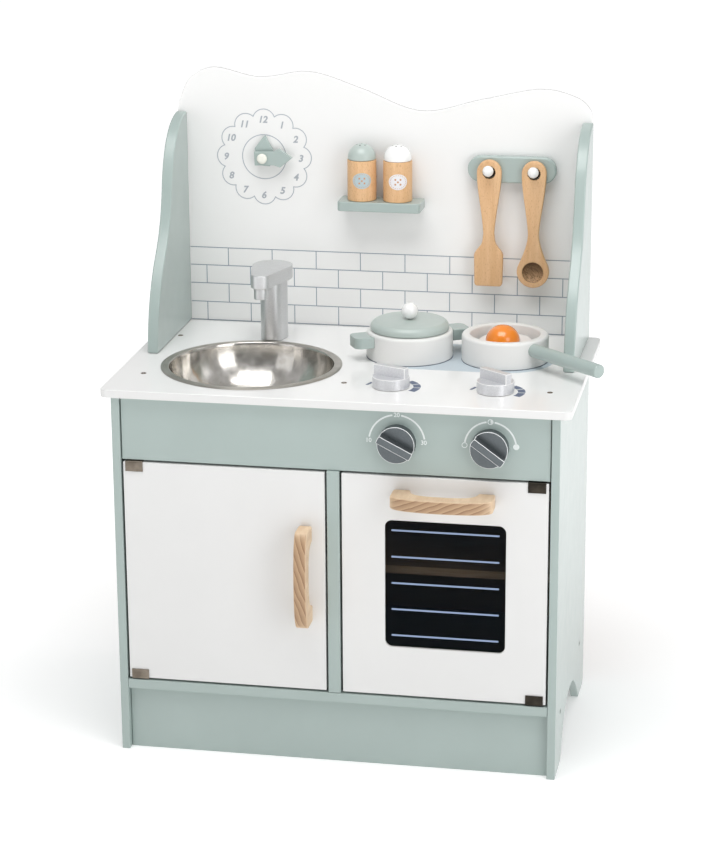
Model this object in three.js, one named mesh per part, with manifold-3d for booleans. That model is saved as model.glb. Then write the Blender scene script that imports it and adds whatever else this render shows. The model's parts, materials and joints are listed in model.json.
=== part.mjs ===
// A child's wooden play kitchen: cabinet with two hinged doors, worktop with a sink and a printed hob,
// backboard with a clock, shaker shelf and utensil rail, and the loose cookware that stands on it.
// Millimetres, +Z up, +X to the viewer's right, +Y to the back. Dimensions in depth are measured from
// the front edges of the side panels; the finished group is then moved so that its origin is on the
// floor, under the middle of the kick board.

import * as THREE from "three";
import { mergeVertices } from "three/addons/utils/BufferGeometryUtils.js";
import Module from "manifold-3d";

const wasm = await Module();
wasm.setup();

// ---------- driving dimensions ----------

const GAP = 0.3;                        // air left between pieces that rest on each other
const BOARD = 10;                       // painted fibreboard

const CABINET = { half: 265, depth: 310, top: 447 };
const INNER = CABINET.half - BOARD;     // inside face of a side panel
const DIVIDER = { half: 7.5 };
const BASE = { bottom: 80, top: 92, batten: 20 };
const KICK = { recess: 10 };
const APRON = { recess: 3, bottom: 370.4 };
const BACK = { front: 300, thickness: 5 };
const BATTEN = { width: 21, height: 20 };
const RAIL = { half: 255, front: CABINET.depth, depth: 17, bottom: 385 };
const OVEN_SHELF = { front: 30, bottom: 237.5, top: 247.5 };

const WORKTOP = { half: 277.75, front: -5, back: 325, corner: 9 };
const TOP = CABINET.top + BOARD;        // height of the worktop's surface

const BACKBOARD = { half: 261, front: 327, bottom: 380 };
const WING = { inner: 249, outer: 262.5 };

const DOOR = { front: 1, bottom: 94.5, top: 368, gap: 2.5, thickness: BOARD };
const HINGE = { fromEdge: 8, pin: 1.6, clipWidth: 21, clipHeight: 11.2, sheet: 1, fromSide: 3 };
const WINDOW = { left: 61.2, right: 203.7, bottom: 155.7, top: 313.8, corner: 8.5 };
const PANE = { overlap: 8, thickness: 3, recess: 4 };
const HANDLE = { length: 120, width: 15, reach: 39, foot: 20, bridge: 19 };

const KNOB = { radius: 22, disc: 13, bar: 12, barWidth: 9.2, gap: 0.5, bore: 3 };
const OVEN_KNOBS = { xs: [76, 184], z: (APRON.bottom + CABINET.top) / 2, turns: [-27, -36] };
const HOB_KNOBS = { xs: [57.5, 180.8], y: 64.5, turns: [-22.5, -37] };

const SINK = { x: -124.8, y: 128.8, hole: 103, wall: 101.2, rim: 110.2, base: 46, depth: 60, sheet: 1.2 };
const FAUCET = { x: -126, front: 249.5, back: 262, frontR: 14.3, backR: 17, top: 534 };
const SPOUT = { y: 256, reach: 52.5, rootR: 25, tipR: 12.3, height: 16.8, turn: -3.3, spigotR: 5, spigot: 8 };
const NOZZLE = { radius: 8.7, height: 14 };

const COOKWARE = { radius: 52.7, wall: 10.5, floor: 10, height: 33, edge: 3.5 };
const POT = { x: 56, y: 203, turn: 30 };
const POT_HANDLE = { reach: 21.5, width: 29.5, corner: 8, top: 30.6, height: 13.5 };
const LID = { radius: 48, thickness: 12, plug: 4, ball: 10.2 };
const PAN = { x: 173, y: 204.5, turn: -42, handleR: 8.2, handleEnd: 169.3, handleZ: 22 };
const EGG = { white: 36, lobe: 1.6, thickness: 12.5, yolk: 20.8, yolkHeight: 19.5, offset: -3 };

const SHELF = { left: -50.5, right: 53.8, depth: 38, bottom: 614, top: 626, corner: 5 };
const SHAKER = { xs: [-22.4, 22.8], radius: 18, body: 50.3, cap: 19.3 };

const HOOKS = { x: 163.9, z: 667.2, length: 109.7, height: 32.7, thickness: 12 };
const PEG = { xs: [136.9, 192.5], z: 668.6, shank: 4, ball: 6.8, reach: 17.5 };
const UTENSIL = { front: 306, thickness: 7.7, handle: 15.2, neck: 6.7, neckZ: 588 };
const EYE_RADIUS = 7.6;
const SPATULA = { bottom: 521.5, half: 18, shoulder: 560, neckEnd: 577, corner: 5 };
const SPOON = { bottom: 523.7, bowl: 20, cup: 13.2, cupDepth: 6, cupRise: -0.7 };

const CLOCK = { x: -150.5, z: 671.8, pin: 3, cap: 6.5 };
const HANDS = { thickness: 5, tail: 10.3, stem: 8.8, barb: 11.9, gap: 1 };
const HOUR_HAND = { length: 28.5, point: 18.3, angle: 86 };
const MINUTE_HAND = { length: 38.2, point: 16.2, angle: 2.5 };

const ROUND = 36;                       // sides on a large turned piece
const SMALL = 16;                       // sides on a small turned piece
const FINE = 72;                        // sides on cutters that follow a round wall

// ---------- materials ----------

const paint = (color, roughness = 0.5) => new THREE.MeshStandardMaterial({ color, roughness, metalness: 0 });
const metal = (color, roughness) => new THREE.MeshStandardMaterial({ color, roughness, metalness: 1 });

const MATERIAL = {
  sage: paint(0xa9bdb7),
  white: paint(0xf1f1f0),
  lightGrey: paint(0xdcdcdb),
  beech: paint(0xdcb58c, 0.6),
  ash: paint(0xe3c4a1, 0.6),
  silver: metal(0xb9babb, 0.4),
  steel: metal(0xc4c1bb, 0.2),
  graphite: metal(0x6b6f72, 0.4),
  darkMetal: metal(0x2c2824, 0.5),
  glass: paint(0x0c141c, 0.1),
  yolk: paint(0xf58a1c, 0.3),
  rawBoard: paint(0xb99f80, 0.8),
};

// ---------- geometry helpers ----------

// Joins shared corners and drops the empty triangles that a lathe leaves on its axis.
function weld(geometry) {
  const bare = geometry.clone();
  bare.deleteAttribute("normal");
  bare.deleteAttribute("uv");
  const merged = mergeVertices(bare, 1e-4);
  const index = merged.getIndex().array;
  const kept = [];
  for (let i = 0; i < index.length; i += 3) {
    const [a, b, c] = [index[i], index[i + 1], index[i + 2]];
    if (a !== b && b !== c && c !== a) kept.push(a, b, c);
  }
  merged.setIndex(kept);
  return merged;
}

function toSolid(geometry) {
  const merged = weld(geometry);
  const mesh = new wasm.Mesh({
    numProp: 3,
    vertProperties: new Float32Array(merged.getAttribute("position").array),
    triVerts: new Uint32Array(merged.getIndex().array),
  });
  return new wasm.Manifold(mesh);
}

function fromSolid(solid) {
  const mesh = solid.getMesh();
  const geometry = new THREE.BufferGeometry();
  geometry.setAttribute("position", new THREE.BufferAttribute(new Float32Array(mesh.vertProperties), 3));
  geometry.setIndex(new THREE.BufferAttribute(new Uint32Array(mesh.triVerts), 1));
  geometry.computeVertexNormals();
  return geometry;
}

function join(...geometries) {
  return fromSolid(geometries.map(toSolid).reduce((whole, piece) => whole.add(piece)));
}

function cut(geometry, ...tools) {
  return fromSolid(tools.map(toSolid).reduce((whole, tool) => whole.subtract(tool), toSolid(geometry)));
}

function common(geometry, other) {
  return fromSolid(toSolid(geometry).intersect(toSolid(other)));
}

function box([x0, x1], [y0, y1], [z0, z1]) {
  return new THREE.BoxGeometry(x1 - x0, y1 - y0, z1 - z0)
    .translate((x0 + x1) / 2, (y0 + y1) / 2, (z0 + z1) / 2);
}

// An upright cylinder from z0 to z1.
function post(radius, z0, z1, sides = SMALL) {
  return new THREE.CylinderGeometry(radius, radius, z1 - z0, sides)
    .rotateX(Math.PI / 2)
    .translate(0, 0, (z0 + z1) / 2);
}

// A turned solid about Z from [radius, height] pairs that start and end on the axis, bottom to top.
function turned(profile, sides = ROUND) {
  const points = profile.map(([r, z]) => new THREE.Vector2(r, z));
  return weld(new THREE.LatheGeometry(points, sides)).rotateX(Math.PI / 2);
}

function extrude(shape, depth, curveSegments = 12) {
  return new THREE.ExtrudeGeometry(shape, { depth, bevelEnabled: false, curveSegments, steps: 1 });
}

// Flat pieces: an outline and the two faces between which it is cut.
function plateZ(shape, z0, z1, curveSegments) {
  return extrude(shape, z1 - z0, curveSegments).translate(0, 0, z0);
}

function plateY(shape, y0, y1, curveSegments) {
  return extrude(shape, y1 - y0, curveSegments).rotateX(Math.PI / 2).translate(0, y1, 0);
}

function plateX(shape, x0, x1, curveSegments) {
  const yzToX = new THREE.Matrix4().set(0, 0, 1, 0, 1, 0, 0, 0, 0, 1, 0, 0, 0, 0, 0, 1);
  return extrude(shape, x1 - x0, curveSegments).applyMatrix4(yzToX).translate(x0, 0, 0);
}

function roundedRect(Target, x0, y0, x1, y1, r) {
  const path = new Target();
  path.moveTo(x0 + r, y0);
  path.lineTo(x1 - r, y0);
  path.absarc(x1 - r, y0 + r, r, -Math.PI / 2, 0, false);
  path.lineTo(x1, y1 - r);
  path.absarc(x1 - r, y1 - r, r, 0, Math.PI / 2, false);
  path.lineTo(x0 + r, y1);
  path.absarc(x0 + r, y1 - r, r, Math.PI / 2, Math.PI, false);
  path.lineTo(x0, y0 + r);
  path.absarc(x0 + r, y0 + r, r, Math.PI, 1.5 * Math.PI, false);
  return path;
}

function circlePath(x, y, r) {
  const path = new THREE.Path();
  path.absarc(x, y, r, 0, 2 * Math.PI, false);
  return path;
}

// The outline of two discs on one line along Y with a taut band round them.
function tearShape(x, yFront, rFront, yBack, rBack) {
  const lean = Math.asin((rBack - rFront) / (yBack - yFront));
  const shape = new THREE.Shape();
  shape.absarc(x, yFront, rFront, Math.PI + lean, 2 * Math.PI - lean, false);
  shape.absarc(x, yBack, rBack, -lean, Math.PI + lean, false);
  return shape;
}

const radians = THREE.MathUtils.degToRad;

// ---------- the model ----------

const kitchen = new THREE.Group();

function add(name, geometry, material, place = null) {
  const mesh = new THREE.Mesh(geometry, material.clone());
  mesh.name = name;
  if (place) mesh.position.set(...place);
  kitchen.add(mesh);
  return mesh;
}

// Side panel in depth and height: two feet with an arch between them and a rounded rear corner.
function sidePanelShape() {
  const { depth, top } = CABINET;
  const shape = new THREE.Shape();
  shape.moveTo(0, 0);
  shape.lineTo(56, 0);
  shape.bezierCurveTo(76, 18, 84, 56, 140, 56);
  shape.lineTo(155, 56);
  shape.bezierCurveTo(200, 56, 232, 24, 256, 0);
  shape.lineTo(depth - 12, 0);
  shape.absarc(depth - 12, 12, 12, -Math.PI / 2, 0, false);
  shape.lineTo(depth, top - GAP);
  shape.lineTo(0, top - GAP);
  return shape;
}

function addCabinet() {
  const panel = sidePanelShape();
  add("side_panel_left", plateX(panel, -CABINET.half, -INNER, 8), MATERIAL.sage);
  add("side_panel_right", plateX(panel, INNER, CABINET.half, 8), MATERIAL.sage);

  const across = [-INNER + GAP, INNER - GAP];
  const underTop = CABINET.top - GAP;
  const pinY = DOOR.front + DOOR.thickness / 2;
  const pinXs = [-1, 1].map((side) => side * (INNER - DOOR.gap - HINGE.fromEdge));
  const pinHoles = (z0, z1) => pinXs.map((x) => post(HINGE.pin + GAP, z0, z1).translate(x, pinY, 0));

  // The base carries a glued batten along each side, which the side panels' screws enter.
  const battens = [-1, 1].map((side) => {
    const xs = [side * (INNER - GAP), side * (INNER - GAP - BASE.batten)].sort((a, b) => a - b);
    return box(xs, [KICK.recess + BOARD + 2, 280], [BASE.bottom - BASE.batten, BASE.bottom + 1]);
  });
  const base = join(box(across, [0, BACK.front - GAP], [BASE.bottom, BASE.top]), ...battens);
  add("bottom_panel", cut(base, ...pinHoles(BASE.top - 7, BASE.top + 1)), MATERIAL.sage);

  const kick = box(across, [KICK.recess, KICK.recess + BOARD], [0, BASE.bottom - GAP]);
  add("kick_board", kick, MATERIAL.sage);

  const apron = new THREE.Shape();
  apron.moveTo(across[0], APRON.bottom);
  apron.lineTo(across[1], APRON.bottom);
  apron.lineTo(across[1], underTop);
  apron.lineTo(across[0], underTop);
  apron.holes = OVEN_KNOBS.xs.map((x) => circlePath(x, OVEN_KNOBS.z, KNOB.bore + GAP));
  const apronPlate = plateY(apron, APRON.recess, APRON.recess + BOARD, 6);
  add("control_panel", cut(apronPlate, ...pinHoles(APRON.bottom - 1, APRON.bottom + 7)), MATERIAL.sage);

  // The divider is notched at its top front corner to let the control panel run across.
  const notch = APRON.recess + BOARD + GAP;
  const divider = new THREE.Shape();
  divider.moveTo(0, BASE.top + GAP);
  divider.lineTo(BACK.front - GAP, BASE.top + GAP);
  divider.lineTo(BACK.front - GAP, underTop);
  divider.lineTo(notch, underTop);
  divider.lineTo(notch, APRON.bottom - GAP);
  divider.lineTo(0, APRON.bottom - GAP);
  add("centre_divider", plateX(divider, -DIVIDER.half, DIVIDER.half), MATERIAL.sage);

  const backZ = [BASE.bottom - BASE.batten, underTop];
  add("cabinet_back", box(across, [BACK.front, BACK.front + BACK.thickness], backZ), MATERIAL.rawBoard);
  const railY = [RAIL.front + GAP, RAIL.front + RAIL.depth - GAP];
  add("rear_rail", box([-RAIL.half, RAIL.half], railY, [RAIL.bottom, underTop]), MATERIAL.ash);

  for (const [side, name] of [[-1, "left"], [1, "right"]]) {
    const xs = [side * (INNER - GAP), side * (INNER - BATTEN.width)].sort((a, b) => a - b);
    const batten = box(xs, [notch, BACK.front - GAP], [underTop - BATTEN.height, underTop]);
    add(`top_batten_${name}`, batten, MATERIAL.ash);
  }
  const shelfX = [DIVIDER.half + GAP, INNER - GAP];
  const shelf = box(shelfX, [OVEN_SHELF.front, BACK.front - GAP], [OVEN_SHELF.bottom, OVEN_SHELF.top]);
  add("oven_shelf", shelf, MATERIAL.ash);

  // A small block on each side of the divider stops the closed door.
  const catchY = [DOOR.front + DOOR.thickness + GAP, DOOR.front + DOOR.thickness + 12];
  for (const [side, name] of [[-1, "cupboard_catch"], [1, "oven_catch"]]) {
    const xs = [side * (DIVIDER.half + GAP), side * (DIVIDER.half + 13)].sort((a, b) => a - b);
    add(name, box(xs, catchY, [DOOR.top - 22, DOOR.top - 8]), MATERIAL.darkMetal);
  }
}

function addWorktop() {
  const { half, front, back, corner } = WORKTOP;
  const shape = roundedRect(THREE.Shape, -half, front, half, back, corner);
  const knobHoles = HOB_KNOBS.xs.map((x) => circlePath(x, HOB_KNOBS.y, KNOB.bore + GAP));
  shape.holes = [circlePath(SINK.x, SINK.y, SINK.hole), ...knobHoles];
  add("worktop", plateZ(shape, CABINET.top, TOP, ROUND / 4), MATERIAL.white);
}

// The basin's wall is a quarter ellipse from the rim down to a flat base.
function basinWall(wall, depth, steps = 6) {
  const points = [];
  for (let i = 0; i <= steps; i += 1) {
    const angle = (i / steps) * (Math.PI / 2);
    points.push([SINK.base + (wall - SINK.base) * Math.cos(angle), -depth * Math.sin(angle)]);
  }
  return points;
}

function addSink() {
  const { wall, rim, depth, sheet } = SINK;
  const outer = basinWall(wall, depth).reverse();
  const inner = basinWall(wall - sheet, depth - sheet);
  const flange = [[wall, GAP], [rim, GAP], [rim, GAP + sheet], [wall - sheet, GAP + sheet]];
  const profile = [[0, -depth], ...outer, ...flange, ...inner, [0, sheet - depth]];
  add("sink_bowl", turned(profile), MATERIAL.steel, [SINK.x, SINK.y, TOP]);
}

function addFaucet() {
  const { x, front, back, frontR, backR, top } = FAUCET;
  const column = plateZ(tearShape(0, front - SPOUT.y, frontR, back - SPOUT.y, backR), TOP + GAP, top);
  const spigot = post(SPOUT.spigotR, top - 1, top + SPOUT.spigot);

  // The foot is relieved where it stands over the edge of the sink's rim.
  const relief = post(SINK.rim + GAP, TOP - 1, TOP + SINK.sheet + 2 * GAP, FINE)
    .translate(SINK.x - x, SINK.y - SPOUT.y, 0);
  add("faucet_column", cut(join(column, spigot), relief), MATERIAL.silver, [x, SPOUT.y, 0]);

  const seat = top + GAP;
  const slab = plateZ(tearShape(0, -SPOUT.reach, SPOUT.tipR, 0, SPOUT.rootR), seat, seat + SPOUT.height);
  const pivotHole = post(SPOUT.spigotR + GAP, seat - 1, seat + SPOUT.spigot + 1);
  const nozzleHole = pivotHole.clone().translate(0, -SPOUT.reach, 0);
  const spout = add("faucet_spout", cut(slab, pivotHole, nozzleHole), MATERIAL.silver, [x, SPOUT.y, 0]);
  spout.rotation.z = radians(SPOUT.turn);

  const { radius, height } = NOZZLE;
  const barrel = post(radius, seat - GAP - height, seat - GAP);
  const nozzle = join(barrel, post(SPOUT.spigotR, seat - 2, seat + SPOUT.spigot));
  const tipX = x + SPOUT.reach * Math.sin(radians(SPOUT.turn));
  const tipY = SPOUT.y - SPOUT.reach * Math.cos(radians(SPOUT.turn));
  add("faucet_nozzle", nozzle, MATERIAL.silver, [tipX, tipY, 0]);
}

// A knob stands on z = 0 and turns about Z: a disc with a bar grip across it and a blind bore below.
function knobGeometry() {
  const { radius, disc, bar, barWidth, gap, bore } = KNOB;
  const face = gap + disc;
  const grip = box([-radius, radius], [-barWidth / 2, barWidth / 2], [face - 1, face + bar]);
  const body = join(post(radius, gap, face, ROUND), common(grip, post(radius, face - 1, face + bar, ROUND)));
  return cut(body, post(bore + GAP, -1, face - 1, SMALL));
}

// The bolt comes up through the board and carries a washer-faced nut beneath it.
function knobBoltGeometry() {
  const { disc, gap, bore } = KNOB;
  const under = -BOARD - GAP;
  const shank = post(bore, under - 1, gap + disc - 2);
  const nut = post(7, under - 4, under, 6);
  return join(shank, nut);
}

function addKnob(name, material, turn, place, tilt) {
  const knob = add(name, knobGeometry(), material, place);
  const bolt = add(`${name}_bolt`, knobBoltGeometry(), MATERIAL.steel, place);
  for (const mesh of [knob, bolt]) mesh.rotation.set(tilt, 0, 0);
  knob.rotateZ(radians(turn));
}

function addKnobs() {
  ["left", "right"].forEach((side, i) => {
    const hobPlace = [HOB_KNOBS.xs[i], HOB_KNOBS.y, TOP];
    addKnob(`hob_knob_${side}`, MATERIAL.silver, HOB_KNOBS.turns[i], hobPlace, 0);
    const ovenPlace = [OVEN_KNOBS.xs[i], APRON.recess, OVEN_KNOBS.z];
    addKnob(`oven_knob_${side}`, MATERIAL.graphite, OVEN_KNOBS.turns[i], ovenPlace, Math.PI / 2);
  });
}

// Bow handle in length and reach: two feet on the door at reach = 0 and an arched bridge.
function handleShape() {
  const { length, reach, foot, bridge } = HANDLE;
  const half = length / 2;
  const shoulder = reach - 15;
  const hollow = reach - bridge;
  const shape = new THREE.Shape();
  shape.moveTo(-half + 2, 0);
  shape.lineTo(-half + foot, 0);
  shape.bezierCurveTo(-half + foot + 2, hollow * 0.8, -half + foot + 10, hollow, 0, hollow);
  shape.bezierCurveTo(half - foot - 10, hollow, half - foot - 2, hollow * 0.8, half - foot, 0);
  shape.lineTo(half - 2, 0);
  shape.quadraticCurveTo(half, 0, half, 6);
  shape.lineTo(half, shoulder);
  shape.bezierCurveTo(half - 2, reach - 4, half - 26, reach, 0, reach);
  shape.bezierCurveTo(-half + 26, reach, -half + 2, reach - 4, -half, shoulder);
  shape.lineTo(-half, 6);
  shape.quadraticCurveTo(-half, 0, -half + 2, 0);
  return shape;
}

// A folded sheet clip grips the door's corner and carries the pivot pin; mirrored for the lower corner.
function hingeClip(side, corner) {
  const { fromSide, clipWidth, clipHeight, sheet, pin, fromEdge } = HINGE;
  const edge = INNER - DOOR.gap;
  const xs = [side * (edge - fromSide), side * (edge - fromSide - clipWidth)].sort((a, b) => a - b);
  const upper = corner === "top";
  const zs = upper ? [DOOR.top - clipHeight, DOOR.top] : [DOOR.bottom, DOOR.bottom + clipHeight];
  const way = upper ? 1 : -1;
  const wrap = GAP + sheet;
  const front = DOOR.front - wrap;
  const back = DOOR.front + DOOR.thickness + wrap;
  const outerZ = upper ? [zs[0], zs[1] + wrap] : [zs[0] - wrap, zs[1]];
  const innerZ = upper ? [zs[0] - 1, zs[1] + GAP] : [zs[0] - GAP, zs[1] + 1];
  const shell = box(xs, [front, back], outerZ);
  const slot = box([xs[0] - 1, xs[1] + 1], [front + sheet, back - sheet], innerZ);
  const seat = upper ? outerZ[1] : outerZ[0];
  const pinZ = [seat - way * (sheet / 2), seat + way * 5].sort((a, b) => a - b);
  const pivot = post(pin, ...pinZ).translate(side * (edge - fromEdge), DOOR.front + DOOR.thickness / 2, 0);
  return join(cut(shell, slot), pivot);
}

function addDoors() {
  const back = DOOR.front + DOOR.thickness;
  const outer = INNER - DOOR.gap;
  const inner = DIVIDER.half + DOOR.gap;

  add("cupboard_door", box([-outer, -inner], [DOOR.front, back], [DOOR.bottom, DOOR.top]), MATERIAL.white);
  const upright = extrude(handleShape(), HANDLE.width, 10)
    .translate(0, 0, -HANDLE.width / 2)
    .rotateZ(Math.PI)
    .rotateY(Math.PI / 2);
  add("cupboard_handle", upright, MATERIAL.ash, [-33, DOOR.front - GAP, 242]);

  const frame = new THREE.Shape();
  frame.moveTo(inner, DOOR.bottom);
  frame.lineTo(outer, DOOR.bottom);
  frame.lineTo(outer, DOOR.top);
  frame.lineTo(inner, DOOR.top);
  const { left, right, bottom, top } = WINDOW;
  frame.holes = [roundedRect(THREE.Path, left, bottom, right, top, WINDOW.corner)];
  const grownWindow = (by, y0, y1) => box([left - by, right + by], [y0, y1], [bottom - by, top + by]);
  const pocketY = DOOR.front + PANE.recess;
  const pocket = grownWindow(PANE.overlap, pocketY, back + 1);
  add("oven_door", cut(plateY(frame, DOOR.front, back, 6), pocket), MATERIAL.white);
  const paneY = pocketY + GAP;
  add("oven_window", grownWindow(PANE.overlap - GAP, paneY, paneY + PANE.thickness), MATERIAL.glass);
  const level = extrude(handleShape(), HANDLE.width, 10)
    .translate(0, 0, -HANDLE.width / 2)
    .rotateZ(Math.PI);
  add("oven_handle", level, MATERIAL.ash, [131.5, DOOR.front - GAP, 345]);

  for (const [side, name] of [[-1, "cupboard"], [1, "oven"]]) {
    for (const corner of ["top", "bottom"]) {
      add(`${name}_hinge_${corner}`, hingeClip(side, corner), MATERIAL.darkMetal);
    }
  }
}

// The backboard's top edge is one long wave.
function backboardShape() {
  const { half, bottom } = BACKBOARD;
  const crest = [
    [half, 727], [258, 742], [240, 757], [196, 765.6], [123, 751], [48, 735], [-27, 761],
    [-92, 780], [-156, 772], [-213, 782.8], [-244, 770], [-257, 746], [-half, 727],
  ].map(([x, z]) => new THREE.Vector2(x, z));
  const shape = new THREE.Shape();
  shape.moveTo(-half, bottom);
  shape.lineTo(half, bottom);
  shape.lineTo(half, crest[0].y);
  shape.splineThru(crest.slice(1));
  return shape;
}

// A wing in depth and height: it leans, swells out like a wave and ends in a rounded shoulder.
function wingShape() {
  const back = BACKBOARD.front - GAP;
  const shape = new THREE.Shape();
  shape.moveTo(back, TOP + GAP);
  shape.lineTo(back, 727);
  shape.bezierCurveTo(268, 724, 248, 672, 243, 645);
  shape.bezierCurveTo(237, 615, 225, 591, 205, 570);
  shape.bezierCurveTo(172, 535, 160, 495, 157, TOP + GAP);
  return shape;
}

function addBackboard() {
  const { front } = BACKBOARD;
  add("backboard", plateY(backboardShape(), front, front + BOARD, 6), MATERIAL.white);
  const wing = wingShape();
  add("wing_left", plateX(wing, -WING.outer, -WING.inner, 10), MATERIAL.sage);
  add("wing_right", plateX(wing, WING.inner, WING.outer, 10), MATERIAL.sage);
}

function addShakers() {
  const back = BACKBOARD.front - GAP;
  const front = BACKBOARD.front - SHELF.depth;
  const { left, right, bottom, top, corner } = SHELF;
  const shelf = new THREE.Shape();
  shelf.moveTo(left, back);
  shelf.lineTo(left, front + corner);
  shelf.absarc(left + corner, front + corner, corner, Math.PI, 1.5 * Math.PI, false);
  shelf.lineTo(right - corner, front);
  shelf.absarc(right - corner, front + corner, corner, -Math.PI / 2, 0, false);
  shelf.lineTo(right, back);
  add("shaker_shelf", plateZ(shelf, bottom, top, 5), MATERIAL.sage);

  const { radius, body, cap } = SHAKER;
  const dome = [[0, 0], [radius, 0]];
  const steps = 5;
  for (let i = 1; i < steps; i += 1) {
    const angle = (i / steps) * (Math.PI / 2);
    dome.push([radius * Math.cos(angle), cap * Math.sin(angle)]);
  }
  dome.push([0, cap]);
  const y = back - radius - 0.5;
  [["pepper", MATERIAL.sage], ["salt", MATERIAL.white]].forEach(([name, colour], i) => {
    const foot = top + GAP;
    add(`${name}_body`, post(radius, 0, body, 28), MATERIAL.beech, [SHAKER.xs[i], y, foot]);
    add(`${name}_cap`, turned(dome, 28), colour, [SHAKER.xs[i], y, foot + body + GAP]);
  });
}

// Utensil outlines are symmetrical about x = 0: only the right half is given, from the eye down.
function utensilShape(eyeZ, lowerRight) {
  const { handle, neck, neckZ } = UTENSIL;
  const shape = new THREE.Shape();
  shape.absarc(0, eyeZ, handle, Math.PI, 0, true);
  shape.bezierCurveTo(handle, eyeZ - 24, neck + 1, neckZ + 24, neck, neckZ);
  lowerRight(shape);
  shape.bezierCurveTo(-neck - 1, neckZ + 24, -handle, eyeZ - 24, -handle, eyeZ);
  shape.holes = [circlePath(0, eyeZ, EYE_RADIUS)];
  return shape;
}

function spatulaBlade(shape) {
  const { bottom, half, shoulder, neckEnd, corner } = SPATULA;
  const { neck, neckZ } = UTENSIL;
  shape.lineTo(neck + 0.6, neckEnd + 3);
  shape.bezierCurveTo(neck + 2, neckEnd - 7, half, shoulder + 7, half, shoulder);
  shape.lineTo(half - 0.6, bottom + corner);
  shape.quadraticCurveTo(half - 0.8, bottom, half - corner, bottom);
  shape.lineTo(corner - half, bottom);
  shape.quadraticCurveTo(0.8 - half, bottom, 0.6 - half, bottom + corner);
  shape.lineTo(-half, shoulder);
  shape.bezierCurveTo(-half, shoulder + 7, -neck - 2, neckEnd - 7, -neck - 0.6, neckEnd + 3);
  shape.lineTo(-neck, neckZ);
}

function spoonBowl(shape) {
  const { bottom, bowl } = SPOON;
  const { neck, neckZ } = UTENSIL;
  const centre = bottom + bowl;
  const open = radians(25);
  const [x, z] = [bowl * Math.cos(open), centre + bowl * Math.sin(open)];
  shape.bezierCurveTo(neck + 0.5, neckZ - 14, x - 4, z + 9, x, z);
  shape.absarc(0, centre, bowl, open, Math.PI - open, true);
  shape.bezierCurveTo(4 - x, z + 9, -neck - 0.5, neckZ - 14, -neck, neckZ);
}

function addUtensils() {
  const { x, z, length, height, thickness } = HOOKS;
  const face = BACKBOARD.front - thickness;
  const [halfLength, halfHeight] = [length / 2, height / 2];
  const rail = roundedRect(THREE.Shape, x - halfLength, z - halfHeight, x + halfLength, z + halfHeight,
    halfHeight - 0.01);
  add("utensil_rail", plateY(rail, face, BACKBOARD.front - GAP, 8), MATERIAL.sage);

  // The eye hangs from the top of the peg's shank, and is wide enough to lift off over the ball.
  const { front, thickness: deep } = UTENSIL;
  const eyeZ = PEG.z - (EYE_RADIUS - PEG.shank) + GAP;
  const ball = new THREE.SphereGeometry(PEG.ball, SMALL, 8).translate(0, 0, PEG.reach);
  const peg = join(post(PEG.shank, GAP, PEG.reach, SMALL), ball);
  ["left", "right"].forEach((side, i) => {
    add(`peg_${side}`, peg.clone().rotateX(Math.PI / 2), MATERIAL.white, [PEG.xs[i], face, PEG.z]);
  });

  const spatula = plateY(utensilShape(eyeZ, spatulaBlade), front, front + deep, 8);
  add("spatula", spatula, MATERIAL.beech, [PEG.xs[0], 0, 0]);

  const { bottom, bowl, cup, cupDepth, cupRise } = SPOON;
  const hollow = new THREE.SphereGeometry(1, 24, 16)
    .scale(cup, cupDepth, cup)
    .translate(0, front, bottom + bowl + cupRise);
  const spoon = cut(plateY(utensilShape(eyeZ, spoonBowl), front, front + deep, 8), hollow);
  add("spoon", spoon, MATERIAL.beech, [PEG.xs[1], 0, 0]);
}

// A clock hand points along +X from its eye: a straight stem, two barbs and a point.
function handShape({ length, point }) {
  const { tail, stem, barb } = HANDS;
  const widest = length - point;
  const shape = new THREE.Shape();
  shape.moveTo(-tail, -stem);
  shape.lineTo(widest - 8, -stem);
  shape.lineTo(widest, -barb);
  shape.lineTo(length, 0);
  shape.lineTo(widest, barb);
  shape.lineTo(widest - 8, stem);
  shape.lineTo(-tail, stem);
  shape.holes = [circlePath(0, 0, CLOCK.pin + GAP)];
  return shape;
}

function addClock() {
  const { x, z, pin, cap } = CLOCK;
  const { thickness, gap } = HANDS;
  const hourBack = BACKBOARD.front - gap;
  const minuteBack = hourBack - thickness - gap;
  const capBack = minuteBack - thickness - gap / 2;
  const stack = [["clock_hour_hand", HOUR_HAND, hourBack], ["clock_minute_hand", MINUTE_HAND, minuteBack]];
  for (const [name, hand, back] of stack) {
    const plate = plateY(handShape(hand), back - thickness, back, 6);
    add(name, plate, MATERIAL.sage, [x, 0, z]).rotation.y = -radians(hand.angle);
  }
  const reach = BACKBOARD.front - capBack;
  const profile = [[0, GAP], [pin, GAP], [pin, reach], [cap, reach], [cap, reach + 2.5],
    [cap * 0.8, reach + 4.2], [cap * 0.4, reach + 5], [0, reach + 5.2]];
  const pinMesh = turned(profile, SMALL).rotateX(Math.PI / 2);
  add("clock_pin", pinMesh, MATERIAL.white, [x, BACKBOARD.front, z]);
}

// A turned pan body with a rounded rim: also the pot.
function cookwareGeometry() {
  const { radius, wall, floor, height, edge } = COOKWARE;
  const inside = radius - wall;
  const soft = edge * 0.3;
  return turned([
    [0, 0], [radius - 1, 0], [radius, 1], [radius, height - edge], [radius - soft, height - soft],
    [radius - edge, height], [inside + 1, height], [inside, height - 1], [inside, floor], [0, floor],
  ]);
}

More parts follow.
